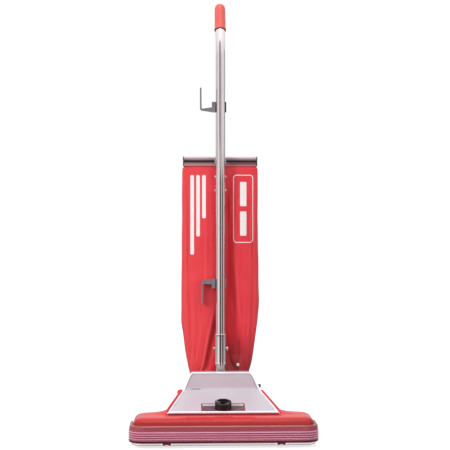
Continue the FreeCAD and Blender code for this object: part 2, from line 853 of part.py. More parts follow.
@piece
def bag_collar():
    return ring(15.5, 13.05, 12, duct_x, duct_end[0] - 13 * duct_dy,
                duct_end[1] - 13 * duct_dz, Rotation(Vector(1, 0, 0), duct_deg - 90))


# ---- switch, pedal, cord and fasteners on the base
@piece
def power_switch():
    return cut(box(17, 18, 15, 66, -79, 111), rod_x(5.08, 73, 90, switch_y, switch_z))


@piece
def switch_button():
    return stepped_pin(1, switch_y, switch_z, (5.0, 78, 99.5), (4.0, 99.4, 100.6))


@piece
def pivot_pins():
    """The pedal's pin and the two pins that the handle turns on."""
    handle_pins = [stepped_pin(side, dim.pivot_y, dim.pivot_z, (5.0, 68.5, 85), (8, 85, 87.5))
                   for side in (1, -1)]
    return group(rod_x(3.0, 54, 84.6, pedal_y, pedal_z), *handle_pins)


@piece
def release_pedal():
    # outlines (y, z)
    arm = new_body()
    pad(arm, "YZ_Plane", [(12, 42), (22, 42), (24, 50), (57, 59), (57, 62.5), (22, 56),
                          (14, 56)], 9, offset=59)
    tread = new_body()
    pad(tread, "YZ_Plane", [(40, 54.4), (57, 59), (57, 62.5), (54.6, 63.4), (40, 60.2)],
        38, offset=30)
    return cut(fuse(arm, tread), rod_x(3.06, 50, 84, pedal_y, pedal_z))


@piece
def pedal_spring():
    return cut(*[rod_x(radius, 54.6, 58.6, pedal_y, pedal_z) for radius in (4.6, 3.1)])


@piece
def cord_strain_relief():
    return cut(fuse(rod(7.5, 3, cord_x, -7.9, cord_z, TO_Y),
                    rod(5.2, 16, cord_x, -5, cord_z, TO_Y)),
               rod(3.6, 30, cord_x, -10, cord_z, TO_Y))


@piece
def power_cord():
    body = new_body()
    profile = circles(sketch(body, "XZ_Plane", 14), cord_x, cord_z, 3.5)
    bow = 12 * math.sqrt(0.5)
    spine = path(sketch(body, "YZ_Plane", cord_x),
                 [(-14, cord_z), (25, cord_z)],
                 [(25, cord_z), (25 + bow, 72 + bow), (37, 72)],
                 [(37, 72), (37, 56)])
    return sweep(body, profile, spine)


@piece
def power_plug():
    shell = cut(box(24, 16, 28, -8, 29, 34), rod(3.55, 20, cord_x, 37, 55.9))
    blades = [box(1.6, 6.4, 14.2, x, 33.8, 20) for x in (-2.6, 9.0)]
    return fuse(shell, *blades, rod(2.4, 14.2, cord_x, 42, 20))


@piece
def base_screws():
    side_screws = [stepped_pin(side, *hood_screw_at, (2.0, 87, 101), (4.2, 100.6, 102.6))
                   for side in (-1, 1)]
    return group(*side_screws, *[fuse(rod(3.6, 1.6, x, y, 6.95), rod(1.6, 14, x, y, 8.4))
                                 for x, y in plate_screws])


# ---- handle: bail, socket, two chromed tubes, grip
tube_bore = dim.tube_r - dim.tube_wall
tube_fit = 12.78  # bore of what is slid over the tube
bolt_z = 205
joint_screw_zs = (dim.tube_joint - 18, dim.tube_joint + 18)


def handle_rod(radius, height, z):
    return rod(radius, height, 0, dim.pivot_y, z)


def across_handle(radius, x0, x1, z):
    return rod_x(radius, x0, x1, dim.pivot_y, z)


def bolt_hole():
    return across_handle(3.1, -20, 20, bolt_z)


def joint_screw_hole(z):
    return across_handle(2.1, -20, 20, z)


@piece
def handle_bail():
    body = new_body()
    pad(body, "XZ_Plane", both_sides([(-76, 60), (-76, 116), (-46, 146)])
        + both_sides([(69, 60), (69, 113), (42, 133)]), 18, offset=-3, reverse=True)
    soften(body, lambda mid, run, length: abs(run.y) > 0.9 and mid.z > 100, 6.0)
    return cut(fuse(body, handle_rod(12.6, 56, 142)),
               across_handle(5.06, -90, 90, dim.pivot_z), handle_rod(10.6, 60, 146))


@piece
def socket_sleeve():
    low, high = dim.socket_low, dim.socket_high
    sleeve = revolve([(12.85, low), (15.9, low), (15.9, low + 3), (15.2, low + 7),
                      (15.2, high - 6), (15.7, high - 3), (15.7, high), (12.85, high)],
                     0, dim.pivot_y, 0)
    return cut(sleeve, bolt_hole())


@piece
def lower_tube():
    return cut(handle_rod(dim.tube_r, dim.tube_joint - 199.5, 199.5),
               handle_rod(tube_bore, dim.tube_joint - 190, 190),
               bolt_hole(), joint_screw_hole(joint_screw_zs[0]))


bend_angle = math.radians(num(dim.bend_deg))


def handle_bend(angle):
    """Point (y, z) on the handle's bend, at an angle round it in radians."""
    radius = num(dim.bend_radius)
    return (num(dim.pivot_y) + radius * (1 - math.cos(angle)),
            num(dim.bend_low) + radius * math.sin(angle))


def beyond_bend(distance):
    """Point (y, z) on the straight run above the bend."""
    y, z = handle_bend(bend_angle)
    return y + distance * math.sin(bend_angle), z + distance * math.cos(bend_angle)


@piece
def upper_tube():
    body = new_body()
    low = dim.tube_joint + 0.3
    profile = circles(sketch(body, "XY_Plane", low), 0, dim.pivot_y, dim.tube_r, tube_bore)
    start, end = handle_bend(0), handle_bend(bend_angle)
    spine = path(sketch(body, "YZ_Plane"),
                 [(num(dim.pivot_y), num(low)), start],
                 [start, handle_bend(bend_angle / 2), end],
                 [end, beyond_bend(82.0)])
    return cut(sweep(body, profile, spine), joint_screw_hole(joint_screw_zs[1]))


@piece
def tube_coupling():
    return cut(handle_rod(tube_bore - 0.05, 90, dim.tube_joint - 45),
               handle_rod(tube_bore - 1.6, 100, dim.tube_joint - 50),
               joint_screw_hole(joint_screw_zs[1]), joint_screw_hole(joint_screw_zs[0]))


@piece
def handle_bolts():
    bolt = fuse(across_handle(3.0, -17.4, 17.4, bolt_z), across_handle(5.6, 15.7, 19.6, bolt_z),
                across_handle(5.0, -19.0, -15.7, bolt_z))
    screws = [fuse(across_handle(2.0, -13.2, 13.2, z), across_handle(3.4, 13.0, 15.0, z),
                   across_handle(3.4, -15.0, -13.0, z)) for z in joint_screw_zs]
    return group(bolt, *screws)


@piece
def hand_grip():
    high, radius = dim.grip_len, dim.grip_r
    outline = [(tube_fit, 0), (radius - 0.6, 0), (radius, 0.8), (radius, 3.4),
               (radius - 0.7, 4.6), (radius - 0.9, 8), (radius - 1.2, high - 14),
               (radius - 2.0, high - 8), (radius - 4.2, high - 3.6), (radius - 8.0, high - 1.0),
               (radius - 12, high), (0, high), (0, high - 8), (12.0, high - 8),
               (tube_fit, high - 9)]
    return revolve(outline, 0, *beyond_bend(25.0),
                   Rotation(Vector(1, 0, 0), -num(dim.bend_deg)))


# ---- cord hooks with their clips on the tube
def clip(low, high):
    """A band round the rear of the tube with a block on its left."""
    height = high - low
    band = cut(ring(15.4, tube_fit, height, 0, dim.pivot_y, low),
               box(60, 30, height + 2, -30, dim.pivot_y - 31.5, low - 1))
    block = cut(box(9, 13, height, -22.6, dim.pivot_y - 6.5, low),
                handle_rod(tube_fit, height + 2, low - 1))
    return fuse(band, block)


def hook(base_z, outline):
    """outline holds (x, height above base_z)."""
    body = new_body()
    pad(body, "XZ_Plane", [(x, base_z + rise) for x, rise in outline], 14,
        offset=-(dim.pivot_y - 7), reverse=True)
    soften(body, lambda mid, run, length: abs(run.y) > 0.9, 0.8)
    return body


@piece
def upper_cord_hook():
    body = hook(dim.hook_up_z, [
        (-23.0, -6.5), (-23.0, 5.5), (-30, 4.4), (-47.5, 1.8), (-49.2, 3.2),
        (-49.8, 57), (-53.8, 57), (-53.8, 1.5), (-50.9, -2.2), (-30, -5.2)])
    return fuse(body, across_handle(3.0, -23.2, -16, dim.hook_up_z))


@piece
def cord_hook_clips():
    up, low = dim.hook_up_z, dim.hook_low_z
    return group(cut(clip(up - 7, up + 20), across_handle(3.06, -24, -15.5, up)),
                 clip(low - 17, low + 8))


@piece
def lower_cord_hook():
    return hook(dim.hook_low_z, [
        (-22.7, -6.5), (-22.7, 7), (-30, 6.2), (-46, 3.4), (-50.5, -0.5),
        (-50.9, -58), (-46.9, -58), (-46.4, -4.2), (-44.5, -5.0), (-30, -5.6)])


# ---- bag: top clamp, hanger, cloth bag and the paper filter inside it
@piece
def bag_clamp():
    low, high = dim.clamp_low, dim.clamp_high
    body = new_body()
    pad(body, "YZ_Plane",
        [(35.5, low), (34, low + 1.5), (34, low + 9.5), (35.6, low + 11), (35.6, low + 16.4),
         (33.6, low + 18), (33.6, high - 2), (35.6, high), (48.4, high), (50, high - 2),
         (50, low + 1.5), (48.5, low), (46.4, low), (46.4, high - 8), (37.6, high - 8),
         (37.6, low)], dim.clamp_len - 6, symmetric=True)
    soften(body, lambda mid, run, length: abs(run.x) > 0.9 and mid.z > num(high) - 3, 1.4)
    return body


@piece
def clamp_end_caps():
    half = dim.clamp_len / 2
    return group(*[box(2.9, 17, 25.4, x, 33.4, dim.clamp_low - 0.3) for x in (-half, half - 2.9)])


@piece
def bag_hanger():
    low = dim.clamp_low + 4
    band = cut(ring(15.0, tube_fit, 13, 0, dim.pivot_y, low),
               box(60, 30, 20, -30, dim.pivot_y - 32, dim.clamp_low))
    hanger = fuse(band, box(13, 6.2, 13, -6.5, dim.pivot_y + 13.6, low))
    return fuse(hanger, box(30, 1.6, 13, -15, 31.6, low))


def loft_rows(rows, inset=0):
    """Lofts rectangles with cut corners; rows are (z, width, front y, rear y)."""
    sections = []
    for z, width, front, rear in rows:
        half = width / 2 - inset
        front, rear = front + inset, rear - inset
        trim = min(rear - front, 2 * half) * 0.28
        sections.append((z, [
            (-half + trim, front), (half - trim, front), (half, front + trim),
            (half, rear - trim), (half - trim, rear), (-half + trim, rear),
            (-half, rear - trim), (-half, front + trim)]))
    return loft(sections)


@piece
def cloth_bag():
    # (z, width, front y, rear y), from the top down
    rows = [
        (702, 188, 39, 45), (686.5, 188, 38.6, 45.4), (680, 200, 37.6, 47.4),
        (650, 203, 34, 60), (590, 206, 31, 82), (470, 210, 30.5, 100), (330, 212, 30.5, 110),
        (250, 205, 30.5, 108), (180, 176, 30.5, 98), (120, 148, 30.5, 84), (92, 128, 31, 76),
    ]
    inner_rows = [(682, 200, 38, 46)] + rows[2:-1] + [(80, 136, 31, 78)]
    bail_clearance = across_handle(60, -150, 150, dim.pivot_z)
    return cut(loft_rows(rows), loft_rows(inner_rows, inset=1.6), bail_clearance)


@piece
def paper_filter_bag():
    # (z, width, front y, rear y), from the top down
    outer = [(600, 150, 54, 62), (560, 156, 54, 72), (470, 160, 55, 82), (330, 160, 56, 92),
             (230, 150, 56, 90), (170, 110, 56, 78)]
    inner = [(560, 152, 56, 70), (470, 156, 57, 80), (330, 156, 58, 90), (230, 146, 58, 88),
             (160, 100, 58, 76)]
    return cut(loft_rows(outer), loft_rows(inner))


# ---- state check and export
doc.recompute()
bad = [obj.Name for obj in doc.Objects if "Invalid" in obj.State or "Error" in obj.State]
for label, obj in pieces.items():
    if obj.Shape.isNull() or not obj.Shape.isValid() or not obj.Shape.Solids:
        bad.append(label)
if bad:
    raise ValueError("failed objects: %s" % bad)
os.makedirs("parts", exist_ok=True)
for label, obj in pieces.items():
    obj.Shape.exportStep(os.path.join("parts", label + ".step"))
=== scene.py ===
import bpy, bmesh, json, math
import numpy as np
from mathutils import Vector, Matrix, noise


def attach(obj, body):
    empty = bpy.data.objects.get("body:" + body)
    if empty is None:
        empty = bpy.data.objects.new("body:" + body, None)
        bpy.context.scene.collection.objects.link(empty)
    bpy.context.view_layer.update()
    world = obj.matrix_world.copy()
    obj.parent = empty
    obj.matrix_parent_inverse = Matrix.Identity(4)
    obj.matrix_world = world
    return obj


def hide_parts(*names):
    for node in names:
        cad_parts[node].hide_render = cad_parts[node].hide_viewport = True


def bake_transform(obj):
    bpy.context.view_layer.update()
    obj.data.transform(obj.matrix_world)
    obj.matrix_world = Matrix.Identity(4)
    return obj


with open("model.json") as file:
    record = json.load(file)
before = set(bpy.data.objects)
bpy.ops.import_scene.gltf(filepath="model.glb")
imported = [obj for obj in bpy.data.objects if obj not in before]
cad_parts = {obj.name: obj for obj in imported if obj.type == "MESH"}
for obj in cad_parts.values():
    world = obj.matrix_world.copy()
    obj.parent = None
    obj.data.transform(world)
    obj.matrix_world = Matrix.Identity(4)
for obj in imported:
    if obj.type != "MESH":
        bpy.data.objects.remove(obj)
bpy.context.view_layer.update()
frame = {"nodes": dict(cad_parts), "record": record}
NODES = frame["nodes"]
SLOT = {s["node"]: s["material_slot"] for s in frame["record"]["subparts"]}
mm = 0.001


# ---------------------------------------------------------------- materials
class Net:
    """A small helper for building node materials."""

    def __init__(self, name):
        self.m = bpy.data.materials.new(name)
        self.m.use_nodes = True
        self.t = self.m.node_tree
        self.t.nodes.clear()
        self.out = self.t.nodes.new("ShaderNodeOutputMaterial")
        self.b = self.t.nodes.new("ShaderNodeBsdfPrincipled")
        self.t.links.new(self.b.outputs[0], self.out.inputs[0])
        self.coord = self.t.nodes.new("ShaderNodeTexCoord").outputs["Object"]
        self.geo = self.t.nodes.new("ShaderNodeNewGeometry")
        self.bump_in = None

    def put(self, socket, v):
        if isinstance(v, (int, float)):
            socket.default_value = v
        elif isinstance(v, (tuple, list)):
            v = list(v)
            if len(v) == 3 and socket.type == "RGBA":
                v = v + [1.0]
            socket.default_value = v
        else:
            self.t.links.new(v, socket)

    def math(self, op, a, b=0.0, c=None, clamp=False):
        n = self.t.nodes.new("ShaderNodeMath")
        n.operation = op
        n.use_clamp = clamp
        self.put(n.inputs[0], a)
        self.put(n.inputs[1], b)
        if c is not None:
            self.put(n.inputs[2], c)
        return n.outputs[0]

    def xyz(self, vec=None):
        n = self.t.nodes.new("ShaderNodeSeparateXYZ")
        self.t.links.new(vec or self.coord, n.inputs[0])
        return n.outputs

    def scaled(self, s):
        n = self.t.nodes.new("ShaderNodeMapping")
        self.t.links.new(self.coord, n.inputs[0])
        n.inputs["Scale"].default_value = s
        return n.outputs[0]

    def noise(self, scale, detail=4.0, rough=0.55, vec=None, dist=0.0):
        n = self.t.nodes.new("ShaderNodeTexNoise")
        self.t.links.new(vec or self.coord, n.inputs["Vector"])
        n.inputs["Scale"].default_value = scale
        n.inputs["Detail"].default_value = detail
        n.inputs["Roughness"].default_value = rough
        n.inputs["Distortion"].default_value = dist
        return n.outputs["Fac"]

    def voronoi(self, scale, vec=None):
        n = self.t.nodes.new("ShaderNodeTexVoronoi")
        self.t.links.new(vec or self.coord, n.inputs["Vector"])
        n.inputs["Scale"].default_value = scale
        return n.outputs["Distance"]

    def span(self, v, a, b, lo, hi):
        n = self.t.nodes.new("ShaderNodeMapRange")
        n.clamp = True
        self.put(n.inputs[0], v)
        for i, x in enumerate((a, b, lo, hi), 1):
            n.inputs[i].default_value = x
        return n.outputs[0]

    def mix(self, f, a, b):
        n = self.t.nodes.new("ShaderNodeMix")
        n.data_type = "RGBA"
        self.put(n.inputs[0], f)
        self.put(n.inputs[6], a)
        self.put(n.inputs[7], b)
        return n.outputs[2]

    def bump(self, height, distance, strength=1.0):
        n = self.t.nodes.new("ShaderNodeBump")
        n.inputs["Strength"].default_value = strength
        n.inputs["Distance"].default_value = distance
        self.put(n.inputs["Height"], height)
        if self.bump_in is not None:
            self.t.links.new(self.bump_in, n.inputs["Normal"])
        self.bump_in = n.outputs[0]
        return n.outputs[0]

    def set(self, **k):
        names = {"color": "Base Color", "rough": "Roughness", "metal": "Metallic", "coat": "Coat Weight", "coat_rough": "Coat Roughness", "sheen": "Sheen Weight", "sheen_rough": "Sheen Roughness",
                 "trans": "Transmission Weight", "ior": "IOR", "sss": "Subsurface Weight", "spec": "Specular IOR Level", "aniso": "Anisotropic", "alpha": "Alpha", "sheen_tint": "Sheen Tint"}
        for a, v in k.items():
            self.put(self.b.inputs[names[a]], v)
        return self

    def done(self):
        if self.bump_in is not None:
            self.t.links.new(self.bump_in, self.b.inputs["Normal"])
        return self.m


def plain(name, lo, hi, rough, metal=0.0, coat=0.0, scale=14.0, bump=0.0, bump_scale=900.0, wear=None, coat_rough=0.06, stretch=None, **extra):
    """A finish with soft colour drift, roughness that varies, a fine surface texture and optional wear on the edges."""
    n = Net(name)
    drift = n.noise(scale, 5.0, 0.6)
    col = n.mix(n.span(drift, 0.3, 0.7, 0.0, 1.0), lo, hi)
    if wear:
        edge = n.span(n.geo.outputs["Pointiness"], 0.53, 0.62, 0.0, 1.0)
        patch = n.span(n.noise(160.0, 6.0, 0.7), 0.42, 0.62, 0.0, 1.0)
        col = n.mix(n.math("MULTIPLY", n.math("MULTIPLY", edge, patch), 0.55), col, wear)
    smudge = n.noise(38.0, 6.0, 0.65, dist=0.4)
    n.set(color=col, rough=n.span(smudge, 0.25, 0.75, rough[0], rough[1]), metal=metal, coat=coat, coat_rough=coat_rough, **extra)
    if bump:
        vec = n.scaled(stretch) if stretch else None
        n.bump(n.noise(bump_scale, 3.0, 0.6, vec), bump)
    return n.done()


MAT = {}
MAT["red_shell"] = plain("gloss_red_shell", (0.62, 0.018, 0.016), (0.72, 0.028, 0.022), (0.16, 0.27), coat=0.55, bump=0.00006, bump_scale=420.0, wear=(0.85, 0.32, 0.28))
# the hood's grey painted much paler for its beads: painted highlight
MAT["hood_pale_highlight"] = plain("hood_pale_highlight", (0.80, 0.775, 0.81), (0.86, 0.835, 0.865), (0.20, 0.32), coat=0.4, bump=0.00004, bump_scale=1200.0)
MAT["hood_grey"] = plain("satin_hood", (0.530, 0.475, 0.535), (0.575, 0.515, 0.575), (0.30, 0.42), coat=0.18, bump=0.00005, bump_scale=1500.0, wear=(0.78, 0.76, 0.79), coat_rough=0.2)
MAT["chrome"] = plain("chrome_plate", (0.83, 0.77, 0.785), (0.91, 0.85, 0.86), (0.09, 0.16), metal=1.0, scale=20.0)
MAT["chrome_soft"] = plain("chrome_dulled", (0.86, 0.775, 0.79), (0.92, 0.83, 0.845), (0.10, 0.15), metal=1.0, scale=20.0)
# a pinker tint of chrome, for the lower tube and socket
MAT["chrome_warm"] = plain("chrome_pink_tinted", (0.90, 0.775, 0.79), (0.96, 0.83, 0.845), (0.08, 0.14), metal=1.0, scale=20.0)
MAT["zinc_steel"] = plain("zinc_sheet", (0.62, 0.61, 0.60), (0.76, 0.75, 0.74), (0.26, 0.44), metal=0.9, bump=0.00004, bump_scale=260.0, stretch=(0.2, 1.0, 1.0), wear=(0.92, 0.9, 0.88))
MAT["black_plastic"] = plain("moulded_black", (0.018, 0.016, 0.018), (0.032, 0.028, 0.030), (0.30, 0.48), coat=0.15, bump=0.00005, bump_scale=2200.0, wear=(0.16, 0.15, 0.155))
MAT["dark_plate"] = plain("printed_plate", (0.20, 0.165, 0.18), (0.26, 0.215, 0.235), (0.32, 0.46), bump=0.00003, bump_scale=1200.0, wear=(0.42, 0.38, 0.4))
MAT["grip_vinyl"] = plain("grip_vinyl", (0.80, 0.085, 0.075), (0.86, 0.115, 0.10), (0.30, 0.44), coat=0.12, bump=0.00012, bump_scale=700.0, sss=0.12, coat_rough=0.3)
MAT["hook_grey"] = plain("coated_strap", (0.30, 0.26, 0.30), (0.38, 0.335, 0.38), (0.26, 0.40), metal=0.55, bump=0.00005, bump_scale=900.0, wear=(0.62, 0.58, 0.62))
MAT["clamp_steel"] = plain("rolled_clamp", (0.40, 0.335, 0.35), (0.47, 0.40, 0.415), (0.26, 0.40), metal=0.6, bump=0.00005, bump_scale=500.0, stretch=(0.08, 1, 1), wear=(0.7, 0.64, 0.65))
MAT["filter_paper"] = plain("kraft_paper", (0.56, 0.44, 0.29), (0.66, 0.53, 0.37), (0.7, 0.9), bump=0.0002, bump_scale=300.0)
MAT["bristle"] = plain("nylon_bristle", (0.014, 0.013, 0.013), (0.035, 0.032, 0.031), (0.35, 0.55), bump=0.0003, bump_scale=1600.0, stretch=(1, 1, 0.1))
MAT["brush_steel"] = plain("turned_roll", (0.56, 0.56, 0.58), (0.66, 0.66, 0.68), (0.25, 0.40), metal=1.0, bump=0.00006, bump_scale=800.0, stretch=(1.0, 0.02, 0.02))
MAT["copper"] = plain("enamelled_copper", (0.48, 0.16, 0.06), (0.66, 0.27, 0.12), (0.25, 0.42), metal=0.9, bump=0.0002, bump_scale=700.0)
MAT["lamination"] = plain("stacked_laminations", (0.16, 0.16, 0.175), (0.26, 0.26, 0.28), (0.42, 0.6), metal=0.8, bump=0.0004, bump_scale=300.0, stretch=(0.05, 0.05, 6.0))
MAT["belt_rubber"] = plain("belt_rubber", (0.016, 0.016, 0.017), (0.034, 0.033, 0.034), (0.55, 0.75), bump=0.0001, bump_scale=900.0)
MAT["wheel_rubber"] = plain("wheel_rubber", (0.030, 0.030, 0.032), (0.060, 0.058, 0.060), (0.5, 0.72), bump=0.00015, bump_scale=700.0, wear=(0.2, 0.19, 0.19))
MAT["motor_alloy"] = plain("cast_alloy", (0.48, 0.49, 0.50), (0.60, 0.61, 0.62), (0.38, 0.55), metal=0.9, bump=0.00025, bump_scale=600.0)
MAT["fan_plastic"] = plain("natural_nylon", (0.66, 0.62, 0.50), (0.74, 0.70, 0.58), (0.35, 0.5), bump=0.00008, bump_scale=900.0)
MAT["cord_vinyl"] = plain("cord_jacket", (0.36, 0.016, 0.018), (0.45, 0.028, 0.026), (0.38, 0.52), bump=0.00006, bump_scale=900.0)
MAT["maroon_rim"] = plain("maroon_rim", (0.26, 0.03, 0.06), (0.34, 0.05, 0.085), (0.3, 0.42), coat=0.2, bump=0.00004, bump_scale=900.0)
MAT["pale_strip"] = plain("pale_strip", (0.50, 0.46, 0.50), (0.60, 0.56, 0.60), (0.3, 0.42), bump=0.00003, bump_scale=900.0)
MAT["snap_white"] = plain("snap_enamel", (0.86, 0.84, 0.82), (0.93, 0.92, 0.90), (0.2, 0.32), coat=0.4, bump=0.00003, bump_scale=700.0)


def knob_material():
    """Black moulding with a painted highlight: its upward-facing corners are painted pale."""
    n = Net("knob_black")
    drift = n.noise(60.0, 5.0, 0.6)
    col = n.mix(n.span(drift, 0.3, 0.7, 0, 1), (0.008, 0.006, 0.007), (0.016, 0.012, 0.013))
    # painted highlight on the upward-facing edges
    edge = n.span(n.geo.outputs["Pointiness"], 0.515, 0.575, 0.0, 1.0)
    up = n.span(n.xyz(n.geo.outputs["Normal"])[2], 0.35, 0.9, 0.0, 1.0)
    col = n.mix(n.math("MULTIPLY", n.math("MULTIPLY", edge, up), 0.8), col, (0.52, 0.48, 0.50))
    n.set(color=col, rough=n.span(drift, 0.3, 0.7, 0.34, 0.46), coat=0.1, coat_rough=0.2, spec=0.3)
    n.bump(n.noise(1800.0, 3.0), 0.00004)
    return n.done()


def clamp_material():
    """Rolled clamp painted with light and shade: a pale upper roll and lip as painted highlight, a dark recess and a
    lower flange darkening to the right as painted shade.
    """
    n = Net("clamp_painted_light_bands")
    x, y, z = n.xyz()
    drift = n.noise(30.0, 5.0, 0.6, n.scaled((0.1, 1.0, 1.0)))
    # painted light and shade in bands down the clamp's profile
    top = n.mix(drift, (0.60, 0.45, 0.50), (0.68, 0.53, 0.58))
    low = n.mix(n.span(x, 0.0, 0.03, 0.0, 1.0), n.mix(drift, (0.40, 0.20, 0.20), (0.48, 0.26, 0.26)), (0.24, 0.085, 0.095))
    lip = n.mix(drift, (0.62, 0.46, 0.48), (0.70, 0.54, 0.56))
    col = n.mix(n.span(z, 0.6875, 0.6888, 0.0, 1.0), lip, low)
    col = n.mix(n.span(z, 0.6915, 0.6965, 0.0, 1.0), col, (0.030, 0.010, 0.011))
    col = n.mix(n.span(z, 0.7008, 0.7020, 0.0, 1.0), col, top)
    n.set(color=col, rough=n.span(drift, 0.3, 0.7, 0.28, 0.42), metal=0.35, coat=0.2, coat_rough=0.2)
    n.bump(n.noise(500.0, 3.0, 0.6, n.scaled((0.08, 1, 1))), 0.00005)
    return n.done()


def shell_material():
    """Glossy moulded red with pale worn edges; the nozzle's front is painted darker towards the floor as painted shade.
    """
    n = Net("gloss_red_shell")
    x, y, z = n.xyz()
    drift = n.noise(14.0, 5.0, 0.6)
    col = n.mix(n.span(drift, 0.3, 0.7, 0, 1), (0.60, 0.024, 0.030), (0.67, 0.034, 0.038))
    # painted shade: the nozzle's front darkens towards the floor
    low = n.math("ADD", n.span(z, 0.0640, 0.0702, 0.55, 0.0), n.span(z, 0.050, 0.064, 0.25, 0.0))
    col = n.mix(n.math("MULTIPLY", low, n.span(y, -0.235, -0.190, 1.0, 0.3)), col, (0.20, 0.022, 0.016))
    edge = n.span(n.geo.outputs["Pointiness"], 0.53, 0.62, 0.0, 1.0)
    patch = n.span(n.noise(160.0, 6.0, 0.7), 0.42, 0.62, 0.0, 1.0)
    col = n.mix(n.math("MULTIPLY", n.math("MULTIPLY", edge, patch), 0.4), col, (0.85, 0.32, 0.28))
    smudge = n.noise(38.0, 6.0, 0.65, dist=0.4)
    n.set(color=col, rough=n.span(smudge, 0.25, 0.75, 0.16, 0.26), coat=0.08, coat_rough=0.05, spec=0.2)
    n.bump(n.noise(420.0, 3.0), 0.00005)
    return n.done()


def hood_material():
    """Satin grey moulding; the upright panel above the break is painted a deeper mauve, as painted shade on its steeper
    face.
    """
    n = Net("satin_hood")
    x, y, z = n.xyz()
    drift = n.noise(14.0, 5.0, 0.6)
    low = n.mix(n.span(drift, 0.3, 0.7, 0, 1), (0.500, 0.465, 0.515), (0.545, 0.505, 0.555))
    upper_panel_shade = n.mix(n.span(drift, 0.3, 0.7, 0, 1), (0.370, 0.288, 0.325), (0.405, 0.318, 0.355))
    # painted shade: darker colour on the steeper upper panel
    col = n.mix(n.span(z, 0.1105, 0.1190, 0.0, 1.0), low, upper_panel_shade)
    edge = n.math("MULTIPLY", n.span(n.geo.outputs["Pointiness"], 0.53, 0.62, 0.0, 1.0), n.span(n.noise(160.0, 6.0, 0.7), 0.42, 0.62, 0.0, 0.5))
    col = n.mix(edge, col, (0.78, 0.76, 0.79))
    n.set(color=col, rough=n.span(n.noise(38.0, 6.0, 0.65, dist=0.4), 0.25, 0.75, 0.30, 0.42), coat=0.18, coat_rough=0.2)
    n.bump(n.noise(1500.0, 3.0), 0.00005)
    return n.done()


def clip_material():
    """Grey strap clips; the upper one is coloured black at its right end."""
    n = Net("strap_clips")
    x, y, z = n.xyz()
    drift = n.noise(14.0, 5.0, 0.6)
    col = n.mix(n.span(drift, 0.3, 0.7, 0, 1), (0.30, 0.26, 0.30), (0.38, 0.335, 0.38))
    # black colouring at the upper clip's right end
    cap = n.math("MULTIPLY", n.span(x, 0.0118, 0.0124, 0.0, 1.0), n.span(z, 0.70, 0.71, 0.0, 1.0))
    col = n.mix(cap, col, (0.010, 0.008, 0.009))
    n.set(color=col, rough=n.span(drift, 0.3, 0.7, 0.28, 0.40), metal=n.span(cap, 0.0, 1.0, 0.5, 0.0), spec=0.3)
    n.bump(n.noise(900.0, 3.0), 0.00005)
    return n.done()


MAT["clips"] = clip_material()
MAT["hood_grey"] = hood_material()
MAT["red_shell"] = shell_material()
MAT["knob_black"] = knob_material()
MAT["clamp_bands"] = clamp_material()
# dark maroon: painted shade strips under the hood lip, the grip collar and the guard, and the front hook pads
MAT["maroon_rubber_and_shade"] = plain("maroon_rubber_and_shade", (0.115, 0.008, 0.018), (0.16, 0.014, 0.026), (0.4, 0.55), bump=0.00004)
def plate_material():
    """Plated sheet: its rim is painted pale with a painted glow standing in for bounce light, above a foot painted dark
    as shade.
    """
    n = Net("plate_rim_painted_glow")
    x, y, z = n.xyz()
    drift = n.noise(40.0, 5.0, 0.6, n.scaled((0.2, 1.0, 1.0)))
    rim = n.mix(drift, (0.88, 0.72, 0.745), (0.93, 0.79, 0.81))
    foot = n.mix(drift, (0.26, 0.22, 0.22), (0.34, 0.29, 0.29))
    # painted shade: the foot below the rim is dark
    col = n.mix(n.span(z, 0.0084, 0.0094, 0.0, 1.0), foot, rim)
    n.set(color=col, rough=n.span(drift, 0.3, 0.7, 0.24, 0.40), metal=0.25, coat=0.2, coat_rough=0.15)
    # painted light: an emission on the rim stands in for bounce light
    painted_glow = n.math("MULTIPLY", n.span(z, 0.0082, 0.0092, 0.0, 0.42), n.span(n.xyz(n.geo.outputs["Normal"])[2], -0.4, -0.1, 0.0, 1.0))
    n.b.inputs["Emission Color"].default_value = (1.0, 0.82, 0.85, 1.0)
    n.put(n.b.inputs["Emission Strength"], painted_glow)
    n.bump(n.noise(260.0, 3.0, 0.6, n.scaled((0.2, 1, 1))), 0.00004)
    return n.done()


MAT["plate_steel"] = plate_material()


def guard_material():
    """Clear pink vinyl: the colour deepens where the strip is thick; its ribs are paled as painted highlight, and the
    gaps between them and its lowest band are darkened as painted shade.
    """
    n = Net("clear_pink_vinyl")
    z = n.xyz()[2]
    edge = n.span(n.geo.outputs["Pointiness"], 0.47, 0.56, 0.0, 1.0)
    drift = n.noise(22.0, 4.0, 0.6)
    base = n.mix(n.span(drift, 0.3, 0.7, 0, 1), (0.50, 0.105, 0.185), (0.58, 0.14, 0.23))
    top = n.mix(n.span(z, 0.0405, 0.0440, 0.0, 1.0), base, (0.345, 0.036, 0.040))
    low = n.mix(n.span(z, 0.0224, 0.0234, 0.0, 1.0), (0.80, 0.33, 0.41), top)
    # painted highlight on the ribs
    rib_highlight = n.math("MULTIPLY", edge, n.span(z, 0.040, 0.044, 0.75, 0.15))
    col = n.mix(rib_highlight, low, (0.74, 0.36, 0.48))
    # painted shade in the gaps between the ribs
    rib_gap_shade = n.math("MULTIPLY", n.span(n.geo.outputs["Pointiness"], 0.40, 0.48, 1.0, 0.0), n.span(z, 0.040, 0.044, 0.7, 0.0))
    col = n.mix(rib_gap_shade, col, (0.22, 0.028, 0.055))
    # painted shade: the dark underside band at the bottom of the strip
    col = n.mix(n.span(z, 0.0189, 0.0197, 0.0, 1.0), (0.085, 0.010, 0.017), col)
    n.set(color=col, rough=n.span(drift, 0.3, 0.7, 0.16, 0.28), trans=0.15, ior=1.45, coat=0.28, coat_rough=0.08, sss=0.0, spec=0.32)
    n.bump(n.noise(500.0, 3.0), 0.00005)
    return n.done()


MAT["guard_vinyl"] = guard_material()


